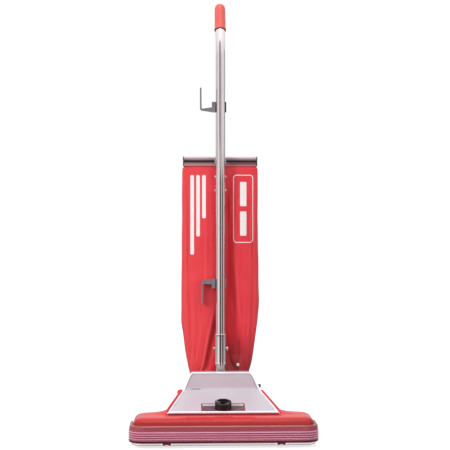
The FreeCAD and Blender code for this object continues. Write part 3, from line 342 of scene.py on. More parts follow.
def cloth_material():
    """Coated woven cloth with its weave, sheen and plain printed bars; painted highlights on its ridges, painted shade
    in its folds and on its lower right lobe, and a painted lighter left half.
    """
    n = Net("coated_bag_cloth")
    kept = []
    for attr in ("rest_xyz", "rest_normal"):
        node_ = n.t.nodes.new("ShaderNodeAttribute")
        node_.attribute_name = attr
        kept.append(node_.outputs["Vector"])
    n.coord = kept[0]
    x, y, z = n.xyz()
    big = n.noise(9.0, 4.0, 0.55)
    mid = n.noise(60.0, 5.0, 0.6, n.scaled((1.0, 1.0, 0.35)))
    base = n.mix(n.span(big, 0.3, 0.7, 0, 1), (0.76, 0.024, 0.042), (0.83, 0.034, 0.054))
    base = n.mix(n.span(mid, 0.35, 0.7, 0.0, 0.30), base, (0.88, 0.070, 0.080))
    # painted light: the left half is lighter, where more light falls on it
    left_light = n.math("MULTIPLY", n.span(x, -0.105, -0.005, 1.0, 0.0), n.span(z, 0.10, 0.62, 1.0, 0.55))
    base = n.mix(n.math("MULTIPLY", left_light, 0.42), base, (0.94, 0.105, 0.095))
    # painted highlight on the ridges, painted shade in the folds
    ridge_highlight = n.span(n.geo.outputs["Pointiness"], 0.505, 0.56, 0.0, 1.0)
    base = n.mix(n.math("MULTIPLY", ridge_highlight, 0.30), base, (0.88, 0.17, 0.15))
    fold_shade = n.span(n.geo.outputs["Pointiness"], 0.44, 0.495, 1.0, 0.0)
    base = n.mix(n.math("MULTIPLY", fold_shade, 0.55), base, (0.34, 0.012, 0.022))

    # painted shade: the lower right lobe beside the pipe is darkened
    face = n.span(n.xyz(kept[1])[1], -0.15, -0.02, 1.0, 0.0)
    lower_right_shade = n.math("MULTIPLY", n.span(z, 0.165, 0.250, 0.87, 0.0), n.math("MULTIPLY", n.span(x, -0.004, 0.008, 0.0, 1.0), n.span(x, 0.020, 0.110, 1.0, 0.72)))
    base = n.mix(n.math("MULTIPLY", lower_right_shade, face), base, (0.30, 0.016, 0.022))

    def sd(cx, cz, hx, hz, r):
        qx = n.math("SUBTRACT", n.math("ABSOLUTE", n.math("SUBTRACT", x, cx)), hx - r)
        qz = n.math("SUBTRACT", n.math("ABSOLUTE", n.math("SUBTRACT", z, cz)), hz - r)
        ax, az = n.math("MAXIMUM", qx, 0.0), n.math("MAXIMUM", qz, 0.0)
        d = n.math("SQRT", n.math("ADD", n.math("MULTIPLY", ax, ax), n.math("MULTIPLY", az, az)))
        inner = n.math("MINIMUM", n.math("MAXIMUM", qx, qz), 0.0)
        return n.math("SUBTRACT", n.math("ADD", d, inner), r)

    def inside(d, soft=0.0005):
        return n.span(d, -soft, soft, 1.0, 0.0)

    marks = []
    # left: three plain stripes of different length; right: a rounded frame with two short bars in it
    for cx, z0, z1, w in ((-0.074, 0.452, 0.662, 0.0048), (-0.0585, 0.500, 0.662, 0.0048), (-0.043, 0.548, 0.662, 0.0048)):
        marks.append(inside(sd(cx, (z0 + z1) / 2, w, (z1 - z0) / 2, 0.003)))
    frame_d = sd(0.061, 0.573, 0.0255, 0.089, 0.008)
    marks.append(inside(n.math("SUBTRACT", n.math("ABSOLUTE", frame_d), 0.0010)))
    for cz in (0.534, 0.612):
        marks.append(inside(sd(0.061, cz, 0.0085, 0.032, 0.0025)))
    total = marks[0]
    for m_ in marks[1:]:
        total = n.math("MAXIMUM", total, m_)
    front = face
    worn = n.span(n.noise(420.0, 5.0, 0.7), 0.30, 0.42, 0.55, 1.0)
    total = n.math("MULTIPLY", n.math("MULTIPLY", total, front), worn)
    col = n.mix(total, base, (0.90, 0.86, 0.85))
    wx = n.math("SINE", n.math("MULTIPLY", x, 5200.0))
    wz = n.math("SINE", n.math("MULTIPLY", z, 5200.0))
    weave = n.math("MULTIPLY", wx, wz)
    n.set(color=col, rough=n.span(mid, 0.3, 0.7, 0.44, 0.60), sheen=0.25, sheen_rough=0.4, coat=0.10, coat_rough=0.35, sheen_tint=(1.0, 0.55, 0.5))
    n.bump(weave, 0.00012, 0.7)
    n.bump(n.noise(240.0, 5.0, 0.6), 0.00035, 0.6)
    return n.done()


MAT["bag_cloth"] = cloth_material()

for name, obj in NODES.items():
    obj.data.materials.clear()
    obj.data.materials.append(MAT[SLOT[name]])
for name, key in (("height_dial", "knob_black"), ("bottom_plate", "plate_steel"), ("cord_hook_clips", "clips")):
    NODES[name].data.materials.clear()
    NODES[name].data.materials.append(MAT[key])


# ---------------------------------------------------------------- helpers
def new_object(name, verts, faces, material, smooth=True):
    me = bpy.data.meshes.new(name)
    me.from_pydata([tuple(v) for v in verts], [], [tuple(f) for f in faces])
    me.validate()
    o = bpy.data.objects.new(name, me)
    bpy.context.collection.objects.link(o)
    o.data.materials.append(material)
    for p in me.polygons:
        p.use_smooth = smooth
    return o


def fix_normals(o):
    b = bmesh.new()
    b.from_mesh(o.data)
    bmesh.ops.recalc_face_normals(b, faces=b.faces)
    b.to_mesh(o.data)
    b.free()


def apply_all(o):
    """Bakes every modifier of o into its mesh."""
    dg = bpy.context.evaluated_depsgraph_get()
    me = bpy.data.meshes.new_from_object(o.evaluated_get(dg))
    old = o.data
    o.modifiers.clear()
    o.data = me
    bpy.data.meshes.remove(old)
    return o


def boolean(o, tool, op="DIFFERENCE"):
    m = o.modifiers.new("b", "BOOLEAN")
    m.operation = op
    m.solver = "EXACT"
    m.object = tool
    apply_all(o)
    bpy.data.objects.remove(tool)
    return o


def block(cx, cy, cz, hx, hy, hz, rot=None):
    b = bmesh.new()
    bmesh.ops.create_cube(b, size=2.0)
    bmesh.ops.scale(b, vec=(hx, hy, hz), verts=b.verts)
    if rot is not None:
        bmesh.ops.rotate(b, matrix=rot, verts=b.verts)
    bmesh.ops.translate(b, vec=(cx, cy, cz), verts=b.verts)
    me = bpy.data.meshes.new("block")
    b.to_mesh(me)
    b.free()
    o = bpy.data.objects.new("block", me)
    bpy.context.collection.objects.link(o)
    return o


def round_bar(p, q, r, n=24):
    """A closed round bar from p to q."""
    p, q = Vector(p), Vector(q)
    d = (q - p).normalized()
    a = d.orthogonal().normalized()
    c = d.cross(a)
    ring = lambda o: [o + (a * math.cos(2 * math.pi * i / n) + c * math.sin(2 * math.pi * i / n)) * r for i in range(n)]
    verts = ring(p) + ring(q)
    faces = [(i, (i + 1) % n, n + (i + 1) % n, n + i) for i in range(n)] + [tuple(range(n))[::-1], tuple(range(n, 2 * n))]
    o = new_object("bar", verts, faces, MAT["zinc_steel"])
    fix_normals(o)
    return o


def tube_path(name, pts, r, material, n=12, closed=False):
    """A solid round bead along points."""
    pts = [Vector(p) for p in pts]
    verts, faces = [], []
    k = len(pts)
    side = None
    for i, p in enumerate(pts):
        a = pts[(i + 1) % k] if (closed or i < k - 1) else p
        b_ = pts[i - 1] if (closed or i > 0) else p
        d = (a - b_).normalized()
        if side is None:
            side = d.orthogonal().normalized()
        side = (side - d * side.dot(d)).normalized()
        up = d.cross(side)
        for j in range(n):
            t = 2 * math.pi * j / n
            verts.append(p + (side * math.cos(t) + up * math.sin(t)) * r)
    rows = k if closed else k - 1
    for i in range(rows):
        for j in range(n):
            a, b_ = i * n + j, i * n + (j + 1) % n
            c, d = ((i + 1) % k) * n + (j + 1) % n, ((i + 1) % k) * n + j
            faces.append((a, b_, c, d))
    if not closed:
        faces += [tuple(range(n))[::-1], tuple(range((k - 1) * n, k * n))]
    o = new_object(name, verts, faces, material)
    fix_normals(o)
    return o


def smooth_path(pts, steps=8):
    """Catmull-Rom points through pts."""
    pts = [Vector(p) for p in pts]
    out = []
    for i in range(len(pts) - 1):
        p0, p1, p2, p3 = pts[max(i - 1, 0)], pts[i], pts[i + 1], pts[min(i + 2, len(pts) - 1)]
        for s in range(steps):
            t = s / steps
            out.append(0.5 * ((2 * p1) + (p2 - p0) * t + (2 * p0 - 5 * p1 + 4 * p2 - p3) * t * t + (3 * p1 - p0 - 3 * p2 + p3) * t ** 3))
    out.append(pts[-1])
    return out


def join(name, objs):
    """One mesh from several, each kept closed."""
    b = bmesh.new()
    mats = []
    for o in objs:
        me = o.data
        base = len(mats)
        for m in me.materials:
            if m not in mats:
                mats.append(m)
        remap = [mats.index(m) for m in me.materials]
        n0 = len(b.faces)
        b.from_mesh(me)
        b.faces.ensure_lookup_table()
        for f in b.faces[n0:]:
            if remap:
                f.material_index = remap[min(f.material_index, len(remap) - 1)]
    me = bpy.data.meshes.new(name)
    b.to_mesh(me)
    b.free()
    for m in mats:
        me.materials.append(m)
    for o in objs:
        bpy.data.objects.remove(o)
    o = bpy.data.objects.new(name, me)
    bpy.context.collection.objects.link(o)
    return o


def rounded(o, width, segments=4, angle=25.0):
    """Rounds every edge sharper than angle, and keeps the flats flat."""
    m = o.modifiers.new("round", "BEVEL")
    m.width = width
    m.segments = segments
    m.limit_method = "ANGLE"
    m.angle_limit = math.radians(angle)
    m.harden_normals = False
    m.use_clamp_overlap = True
    w = o.modifiers.new("normals", "WEIGHTED_NORMAL")
    w.keep_sharp = False
    return o


# CAD pieces keep their shape: welded, with a small rounded edge
EDGE = {"bag_clamp": 0.6, "clamp_end_caps": 1.6, "upper_cord_hook": 1.0, "lower_cord_hook": 1.0, "cord_hook_clips": 0.8, "bottom_plate": 0.4, "rear_bracket": 0.5, "handle_bail": 1.6, "power_plug": 2.2,
        "release_pedal": 0.8, "latch_left": 0.5, "latch_right": 0.5, "height_dial_plate": 0.3, "handle_bolts": 0.5, "bag_hanger": 0.4, "base_screws": 0.4, "height_carriage": 0.4, "brush_end_bearings": 0.8,
        "fan_chamber": 0.7, "motor_end_bells": 0.7, "cord_strain_relief": 0.6, "bag_collar": 0.8, "pivot_pins": 0.5, "rear_axle": 0.5, "front_axle": 0.4, "power_switch": 0.6, "height_dial": 0.9}
for name, w in EDGE.items():
    o = NODES[name]
    k = o.modifiers.new("weld", "WELD")
    k.merge_threshold = 0.00002
    rounded(o, w * mm, 3, 32.0)


# ---------------------------------------------------------------- red housing: the CAD shell with flowing shoulders
DECK = [(0, 84), (133, 84), (138, 79.5), (148, 75.5), (162, 73.5), (187, 72.4), (199, 71.2), (206, 69.2), (211, 66), (214.8, 61), (217.2, 54), (218, 47), (230, 30)]


def deck_at(x):
    """The nozzle deck's height at x, in mm."""
    for (a, p), (b_, q) in zip(DECK, DECK[1:]):
        if x <= b_:
            return p + (q - p) * (x - a) / (b_ - a)
    return DECK[-1][1]


def relax(o, weight, rounds):
    """Laplacian smoothing of o's mesh, with a weight for each vertex."""
    me = o.data
    n = len(me.vertices)
    co = np.empty(n * 3)
    me.vertices.foreach_get("co", co)
    co = co.reshape(-1, 3)
    ed = np.empty(len(me.edges) * 2, dtype=np.int64)
    me.edges.foreach_get("vertices", ed)
    ed = ed.reshape(-1, 2)
    deg = np.bincount(ed.ravel(), minlength=n).astype(float)
    deg[deg == 0] = 1.0
    for _ in range(rounds):
        acc = np.zeros_like(co)
        for k in range(3):
            acc[:, k] = np.bincount(ed[:, 0], weights=co[ed[:, 1], k], minlength=n) + np.bincount(ed[:, 1], weights=co[ed[:, 0], k], minlength=n)
        co = co + (acc / deg[:, None] - co) * (0.6 * weight)[:, None]
    me.vertices.foreach_set("co", co.ravel())
    me.update()


def ramp(v, a, b_):
    return np.clip((v - a) / (b_ - a), 0.0, 1.0)


def housing():
    src = NODES["nozzle_housing"]
    o = bpy.data.objects.new("red_nozzle_housing", src.data.copy())
    bpy.context.collection.objects.link(o)
    w = o.modifiers.new("w", "WELD")
    w.merge_threshold = 0.00002
    apply_all(o)
    # fillets that carry the deck up into the hood's flange, on both sides and behind the nozzle's ends
    parts = [o]
    for s in (-1, 1):
        n_t, n_s = 26, 11
        verts, faces = [], []
        # a blend between the nozzle's rear edge and the tapering body side: concave in plan
        for i in range(n_t + 1):
            t = i / n_t
            px = 214.0 - (214.0 - 119.0) * t
            py = -188.5 + 46.0 * t ** 2.6
            h = min(69.5 + 8.0 * t ** 2.0, deck_at(px) - 2.2)
            qx = 118.0 - 2.0 * t
            for (x, y, z) in ((px, py, 14.0), (px, py, h - 7.0), (px - 0.6 * (1 - t), py - 1.4, h - 2.6), (px - 2.0, py - 4.5, h), (px - 8.0, min(py, -192.0) - 5.0, h - 1.0), (px - 8.0, -199.0, 14.0)):
                verts.append((s * x * mm, y * mm, z * mm))
        k = 6
        for i in range(n_t):
            for j in range(k):
                a, b_ = i * k + j, i * k + (j + 1) % k
                faces.append((a, b_, b_ + k, a + k))
        faces += [tuple(range(k)), tuple(range(n_t * k, n_t * k + k))[::-1]]
        f = new_object("fair", verts, faces, MAT["red_shell"])
        fix_normals(f)
        parts.append(f)
    # a rolled flange runs up beside the hood, and a small boss sits on it at the left
    for s in (-1, 1):
        run = smooth_path([(s * x * mm, y * mm, z * mm) for x, y, z in ((136.8, -222.0, 71.2), (138.8, -214.5, 75.4), (134.0, -198.5, 80.0), (123.5, -160.0, 89.8), (112.5, -121.0, 99.7), (105.8, -97.0, 106.0), (102.8, -84.0, 107.2), (100.5, -76.0, 103.0))], 6)
        parts.append(tube_path("rail", run, 3.4 * mm, MAT["red_shell"], 16))
    parts.append(round_bar((-0.1050, -0.091, 0.098), (-0.1050, -0.091, 0.1095), 7.4 * mm, 28))
    parts.append(round_bar((-0.1050, -0.091, 0.109), (-0.1050, -0.091, 0.1125), 5.4 * mm, 28))
    o = join("red_nozzle_housing", parts)
    m = o.modifiers.new("r", "REMESH")
    m.mode = "VOXEL"
    m.voxel_size = 0.0017
    m.adaptivity = 0.0
    apply_all(o)
    k = o.modifiers.new("s", "SMOOTH")
    k.factor = 0.5
    k.iterations = 5
    apply_all(o)
    # the outside of the nozzle flows: its front, its deck and its ends are relaxed further than the rest
    me = o.data
    n = len(me.vertices)
    co = np.empty(n * 3)
    me.vertices.foreach_get("co", co)
    co = co.reshape(-1, 3)
    no = np.array([v.normal for v in me.vertices])
    outer = (no[:, 2] > 0.05) | (no[:, 1] < -0.3) | (np.abs(no[:, 0]) > 0.5)
    inside = (np.abs(co[:, 0]) < 0.2125) & (co[:, 1] > -0.2725) & (co[:, 1] < -0.194) & (co[:, 2] < 0.0655) & (no[:, 2] < 0.3) & ~((co[:, 1] < -0.262) & (no[:, 1] < 0))
    hooded = (np.abs(co[:, 0]) < 0.1375) & (co[:, 1] > -0.2245)
    w = np.where(outer & ~inside & ~hooded, 1.0, 0.0) * ramp(co[:, 2], 0.040, 0.050) * ramp(-co[:, 1], 0.184, 0.192)
    relax(o, w, 34)
    d = o.modifiers.new("d", "DISPLACE")
    d.strength = 0.0005
    d.mid_level = 0.0
    apply_all(o)
    o.data.materials.clear()
    o.data.materials.append(MAT["red_shell"])
    for p in o.data.polygons:
        p.use_smooth = True
    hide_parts("nozzle_housing")
    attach(o, "base")
    return o


HOUSING = housing()

# ---------------------------------------------------------------- hood: a rounded moulding with a bead along its edges
SLOPE = math.atan2(111.0 - 78.0, 127.0)
LEAN = Matrix.Rotation(SLOPE, 3, "X")


def on_lip(y):
    """Height of the hood's lower panel at y, in mm."""
    return 78.0 + (y + 222.0) * math.tan(SLOPE)


def hood():
    P = [(134, -222, 66.9), (134, -222, 78), (97.6, -95, 111), (97.0, -95, 66.9), (77, -64, 151), (77, -12, 151), (91.5, -10, 104), (91.5, -10, 66.9)]
    v = [(x * mm, y * mm, z * mm) for x, y, z in P] + [(-x * mm, y * mm, z * mm) for x, y, z in P]
    L = 8
    f = [(L + 0, 0, 1, L + 1), (L + 1, 1, 2, L + 2), (L + 2, 2, 4, L + 4), (L + 4, 4, 5, L + 5), (L + 5, 5, 6, L + 6), (L + 6, 6, 7, L + 7),
         (0, 3, 2, 1), (3, 7, 6, 2), (2, 6, 5, 4), (L + 1, L + 2, L + 3, L + 0), (L + 2, L + 6, L + 7, L + 3), (L + 4, L + 5, L + 6, L + 2), (0, L + 0, L + 3, 3), (3, L + 3, L + 7, 7)]
    b = bmesh.new()
    vs = [b.verts.new(q) for q in v]
    for q in f:
        b.faces.new([vs[i] for i in q])
    bmesh.ops.recalc_face_normals(b, faces=b.faces)
    low = {x for x in b.verts if x.co.z < 0.0670}
    upright = [e for e in b.edges if not (e.verts[0] in low and e.verts[1] in low)]
    upright = [e for e in upright if e.calc_face_angle(0.0) > math.radians(4)]
    bmesh.ops.bevel(b, geom=upright, offset=0.0072, offset_type="OFFSET", segments=7, profile=0.5, affect="EDGES", clamp_overlap=True)
    bottoms = [x for x in b.faces if all(abs(w.co.z - 0.0669) < 1e-5 for w in x.verts)]
    bmesh.ops.delete(b, geom=bottoms, context="FACES")
    me = bpy.data.meshes.new("grey_motor_hood")
    b.to_mesh(me)
    b.free()
    o = bpy.data.objects.new("grey_motor_hood", me)
    bpy.context.collection.objects.link(o)
    s = o.modifiers.new("s", "SOLIDIFY")
    s.thickness = 0.0024
    s.offset = -1.0
    apply_all(o)
    # recess for the dial plate, stem hole, switch hole
    y0 = -222 + 3 + 23.0 * math.cos(SLOPE)
    top = on_lip(y0)
    n_ = Vector((0, -math.sin(SLOPE), math.cos(SLOPE)))
    c = Vector((0, y0, top)) + n_ * (3.0 - 1.8)
    boolean(o, block(c.x * mm, c.y * mm, c.z * mm, 53.8 * mm, 23.3 * mm, 3.0 * mm, LEAN))
    k = Vector((0, -203, on_lip(-203)))
    boolean(o, round_bar((k + n_ * 8) * mm, (k - n_ * 8) * mm, 6.6 * mm, 32))
    boolean(o, round_bar((0.070, -0.070, 0.119), (0.125, -0.070, 0.119), 5.5 * mm, 32))
    o.data.materials.clear()
    o.data.materials.append(MAT["hood_grey"])
    for p in o.data.polygons:
        p.use_smooth = True
        p.material_index = 0
    for e in (o.modifiers.new("n", "WEIGHTED_NORMAL"),):
        e.keep_sharp = False
    return o


HOOD = hood()
# raised bead from the lip's corners up the sides and across the top, as one moulded edge; this bead and the lip bead
# are painted pale, as painted highlight
half = [(130.6, -219.8, 77.9), (124.8, -198.5, 83.8), (114.3, -160.0, 93.8), (103.3, -121.0, 103.9), (96.6, -98.0, 110.0), (91.8, -86.8, 121.2), (83.4, -72.8, 139.0), (78.2, -66.0, 147.6), (73.8, -62.8, 150.4), (64.0, -62.2, 151.0)]
bead = [Vector((x * mm, y * mm, z * mm)) for x, y, z in half]
left = [Vector((-p.x, p.y, p.z)) for p in bead]
line = smooth_path(bead + left[::-1], 7)
HOOD_BEAD = tube_path("hood_edge_bead", line, 2.6 * mm, MAT["hood_pale_highlight"], 14)
lipline = smooth_path([(-0.1335, -0.2185, 0.0712), (-0.1322, -0.2212, 0.0752), (-0.124, -0.2222, 0.0764), (-0.06, -0.2223, 0.0765), (0.0, -0.2223, 0.0765), (0.06, -0.2223, 0.0765), (0.124, -0.2222, 0.0764), (0.1322, -0.2212, 0.0752), (0.1335, -0.2185, 0.0712)], 6)
HOOD_LIP = tube_path("hood_lip_bead", lipline, 3.0 * mm, MAT["hood_pale_highlight"], 14)
# painted shade: a dark strip under the lip stands for the shadow gap between the hood and the deck
gap_line = smooth_path([(-0.1335, -0.2170, 0.0726), (-0.1320, -0.2235, 0.0726), (-0.126, -0.2248, 0.0726), (-0.06, -0.2250, 0.0726), (0.0, -0.2250, 0.0726), (0.06, -0.2250, 0.0726), (0.126, -0.2248, 0.0726), (0.1320, -0.2235, 0.0726), (0.1335, -0.2170, 0.0726)], 6)
HOOD_GAP = tube_path("hood_gap_shadow_strip", gap_line, 1.9 * mm, MAT["maroon_rubber_and_shade"], 10)
# a black strip on the hood's upper panel at the left, where a dark line shows
slot_dark = block(-0.066, -0.0925, 0.1142, 0.0125, 0.0011, 0.0008, Matrix.Rotation(math.radians(50), 3, "X"))
slot_dark.name = "hood_dark_strip"
slot_dark.data.materials.append(MAT["black_plastic"])
rounded(slot_dark, 0.0004, 2)
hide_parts("motor_hood")
for o in (HOOD, HOOD_BEAD, HOOD_LIP, HOOD_GAP, slot_dark):
    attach(o, "base")

# ---------------------------------------------------------------- dial plate's border and scale lines
n_up = Vector((0, -math.sin(SLOPE), math.cos(SLOPE)))
along = Vector((0, math.cos(SLOPE), math.sin(SLOPE)))


def plate_point(x, s, lift):
    """A point on the dial plate: x across, s up the slope from its front edge, lift above the hood's surface, in mm."""
    o = Vector((0, -218.7, on_lip(-218.7)))
    return (o + Vector((x, 0, 0)) + along * s + n_up * lift) * mm


def plate_bar(name, x0, x1, s0, s1, l0, l1, material, r=0.25):
    c = (plate_point(x0, s0, l0) + plate_point(x1, s1, l1)) / 2
    b = block(c.x, c.y, c.z, abs(x1 - x0) / 2 * mm, abs(s1 - s0) / 2 * mm, abs(l1 - l0) / 2 * mm, LEAN)
    b.name = name
    b.data.materials.append(material)
    rounded(b, r * mm, 2)
    apply_all(b)
    return b


border = [plate_bar("b", -53.0, 53.0, 0.2, 2.4, -0.9, 0.75, MAT["maroon_rim"]), plate_bar("b", -53.0, 53.0, 42.8, 45.0, -0.9, 0.75, MAT["maroon_rim"]),
          plate_bar("b", -53.0, -50.8, 0.2, 45.0, -0.9, 0.75, MAT["maroon_rim"]), plate_bar("b", 50.8, 53.0, 0.2, 45.0, -0.9, 0.75, MAT["maroon_rim"])]
border = join("dial_plate_border", border)
strip = plate_bar("dial_plate_strip", -50.4, 50.4, 33.0, 42.4, -0.9, 0.15, MAT["pale_strip"])
lines = [plate_bar("l", -50.2, 50.2, 4.6 + 4.6 * i, 6.0 + 4.6 * i, -0.9, 0.25, MAT["black_plastic"], 0.15) for i in range(6)]
ticks = [plate_bar("t", sx * (26 + 8 * i) - 0.6, sx * (26 + 8 * i) + 0.6, 35.0, 40.4, -0.2, 0.45, MAT["dark_plate"], 0.1) for i in range(3) for sx in (-1, 1)]
lines = join("dial_plate_lines", lines)
ticks = join("dial_plate_ticks", ticks)
for o in (border, strip, lines, ticks):
    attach(o, "base")


# ---------------------------------------------------------------- cloth bag
def lerp_table(rows, z):
    """Interpolates rows (z, value...) smoothly, highest z first."""
    if z >= rows[0][0]:
        return rows[0][1:]
    for a, b_ in zip(rows, rows[1:]):
        if z >= b_[0]:
            t = (a[0] - z) / (a[0] - b_[0])
            return [p + (q - p) * t for p, q in zip(a[1:], b_[1:])]
    return rows[-1][1:]


# z, left x, right x, front y, rear y (mm)
BAG = [(700, -92.5, 92.5, 39.6, 44.4), (689, -92.8, 92.8, 38.6, 45.4), (680, -99.5, 99.5, 36.0, 49.5), (660, -100.0, 99.5, 33.0, 58.0), (620, -100.0, 99.8, 30.0, 72.0), (560, -100.2, 100.4, 27.5, 86.0), (500, -100.8, 101.4, 26.0, 95.0),
       (420, -102.0, 104.0, 25.5, 102.0), (330, -103.6, 106.2, 25.5, 107.0), (270, -103.4, 101.0, 26.5, 107.0), (210, -95.6, 92.0, 29.5, 103.0), (165, -87.0, 86.6, 32.0, 97.0), (140, -82.0, 80.0, 34.5, 91.0)]
# lower rings close round the exhaust pipe's collar: centre x, y, z, half width, half depth, lean in degrees
NECK = [(-4.0, 61.5, 122, 70.0, 26.0, 6), (-12.0, 59.0, 110, 54.0, 23.5, 14), (-21.0, 55.5, 100, 38.5, 21.0, 24), (-30.0, 50.5, 92, 25.5, 18.5, 34), (-36.0, 45.5, 84.5, 18.4, 17.2, 40), (-38.0, 41.0, 76.0, 16.9, 16.4, 40), (-38.0, 38.0, 71.6, 16.6, 16.4, 40)]
NU, NV = 208, 250


def creases(x, z):
    """How far the front face moves back (+) or forward (-) at x, z, in mm: the channel behind the tube, folds and puckers."""
    t = max(0.0, min(1.0, (672.0 - z) / 90.0))
    low = max(0.0, min(1.0, (z - 128.0) / 60.0))
    d = 0.0
    # the steep-sided channel just right of the tube, opening to the right lower down
    xc = 19.0 + 3.0 * math.sin(z / 90.0)
    wl = 13.0
    wr = 20.0 + 26.0 * max(0.0, min(1.0, (420.0 - z) / 260.0))
    q = (x - xc) / (wr if x > xc else wl)
    d += t * low * (17.0 + 6.0 * max(0.0, min(1.0, (460 - z) / 250.0))) * math.exp(-q * q)
    # soft swell on each side of it
    d -= t * low * 4.0 * math.exp(-((x + 58.0) / 34.0) ** 2)
    d -= t * low * 3.5 * math.exp(-((x - 74.0) / 24.0) ** 2) * max(0.0, min(1.0, (520 - z) / 160.0))
    # the fold that falls from beside the tube to the lower left
    if z < 330:
        s = max(0.0, min(1.0, (330.0 - z) / 60.0)) * max(0.0, min(1.0, (z - 130.0) / 28.0))
        xf = -15.0 - 0.207 * max(0.0, 312.0 - z)
        e = (x - xf)
        d -= s * 5.2 * math.exp(-(e / 3.4) ** 2)
        d += s * 8.5 * math.exp(-((e - 11.0) / 8.5) ** 2)
    if 132 < z < 166:
        xd = -46.0 + (162.0 - z) * 0.55
        d -= 3.4 * math.sin(math.pi * (z - 132.0) / 34.0) * math.exp(-((x - xd) / 2.4) ** 2)
    # long soft vertical folds
    d += t * 1.5 * math.sin(x / 11.5 + 0.9 * math.sin(z / 130.0) + 0.4) * (0.45 + 0.55 * noise.noise(Vector((x / 60.0, 0.0, z / 170.0))))
    for cx, z_a, z_b, lean, a, w in ((-84, 610, 420, -0.02, 1.7, 4.5), (-88, 400, 150, 0.045, 2.4, 5.0), (-66, 350, 130, 0.05, 2.2, 5.5), (72, 640, 470, 0.03, 1.5, 5.0), (93, 420, 200, -0.05, 2.2, 5.0), (58, 300, 135, -0.09, 2.0, 6.0), (-30, 600, 330, 0.0, 1.5, 4.0)):
        if z_b < z < z_a:
            f = math.sin(math.pi * (z_a - z) / (z_a - z_b))
            d += a * f * math.exp(-((x - cx - lean * (z_a - z)) / w) ** 2)
    # gathers below the clamp and at the bottom
    top_g = max(0.0, min(1.0, (z - 628.0) / 50.0)) * max(0.0, min(1.0, (686.0 - z) / 12.0))
    d += top_g * 1.1 * math.sin(x / 4.6 + 1.7 * math.sin(x / 23.0))
    low_g = max(0.0, min(1.0, (205.0 - z) / 60.0))
    d += low_g * 1.6 * math.sin(x / 7.2 + z / 40.0)
    return d


def bag():
    rings = []
    zs = [700.0 - 560.0 * i / (NV - 31) for i in range(NV - 30)]
    for z in zs:
        xl, xr, yf, yr = lerp_table(BAG, z)
        rings.append(("flat", z, xl, xr, yf, yr))
    neck_rows = [(0.0, (BAG[-1][1] + BAG[-1][2]) / 2, (BAG[-1][3] + BAG[-1][4]) / 2, 140.0, (BAG[-1][2] - BAG[-1][1]) / 2, (BAG[-1][4] - BAG[-1][3]) / 2, 0.0)] + [(float(i + 1),) + r for i, r in enumerate(NECK)]
    for i in range(1, 31):
        t = i / 30.0 * len(NECK)
        k = min(int(t), len(NECK) - 1)
        f = t - k
        a, b_ = neck_rows[k], neck_rows[min(k + 1, len(neck_rows) - 1)]
        rings.append(("neck",) + tuple(p + (q - p) * f for p, q in zip(a[1:], b_[1:])))
    verts = []
    for ring in rings:
        for j in range(NU):
            th = 2 * math.pi * j / NU
            c, s = math.cos(th), math.sin(th)
            if ring[0] == "flat":
                _, z, xl, xr, yf, yr = ring
                fat = max(0.0, min(1.0, (yr - yf - 6.0) / 40.0))
                n_ = 5.5 - 2.7 * fat
                cx, cy, a, b_ = (xl + xr) / 2, (yf + yr) / 2, (xr - xl) / 2, (yr - yf) / 2
                x = cx + a * math.copysign(abs(c) ** (2 / n_), c)
                y = cy + b_ * math.copysign(abs(s) ** (2 / n_), s)
                if s < 0:
                    edge = max(0.0, min(1.0, (1.0 - abs(x - cx) / a) / 0.10))
                    y += creases(x, z) * (edge * edge * (3 - 2 * edge)) * min(1.0, (yr - yf) / 24.0)
                else:
                    edge = max(0.0, min(1.0, (1.0 - abs(x - cx) / a) / 0.2))
                    y += edge * min(1.0, (yr - yf) / 30.0) * (2.4 * noise.noise(Vector((x / 34.0 + 9, 3.0, z / 120.0))) + 1.3 * math.sin(x / 13.0 + 1.2 * math.sin(z / 90.0)) - 3.0 * math.exp(-(x / 3.2) ** 2) * 0.8)
                side = 1.0 - max(0.0, min(1.0, (1.0 - abs(x - cx) / a) / 0.12))
                x += side * min(1.0, (yr - yf) / 30.0) * (1.1 * noise.noise(Vector((5.0 if c > 0 else -5.0, y / 40.0, z / 60.0))) + 0.35 * math.sin(z / 17.0 + y / 30.0 + (0 if c > 0 else 2))) * math.copysign(1, c)
                p = Vector((x, y, z))
                k = noise.noise(Vector((x / 15.0, y / 15.0, z / 26.0)))
                y += 0.55 * k * min(1.0, (yr - yf) / 30.0)
                verts.append((x * mm, y * mm, z * mm))
            else:
                _, cx, cy, cz, a, b_, lean = ring
                r = math.radians(lean)
                n_ = 2.8 - 0.8 * min(1.0, lean / 40.0)
                u = a * math.copysign(abs(c) ** (2 / n_), c)
                v = b_ * math.copysign(abs(s) ** (2 / n_), s)
                g = 1.0 + (0.045 * math.sin(9 * th + cz / 9.0) + 0.02 * math.sin(17 * th)) * min(1.0, max(0.0, (cz - 77.0) / 10.0))
                u, v = u * g, v * g
                verts.append(((cx + u) * mm, (cy + v * math.cos(r)) * mm, (cz - v * math.sin(r)) * mm))
    faces = []
    rows = len(rings)
    for i in range(rows - 1):
        for j in range(NU):
            a, b_ = i * NU + j, i * NU + (j + 1) % NU
            faces.append((a, a + NU, b_ + NU, b_))
    faces.append(tuple(range(NU))[::-1])
    o = new_object("red_cloth_bag", verts, faces, MAT["bag_cloth"])
    fix_normals(o)
    return o


BAGO = bag()


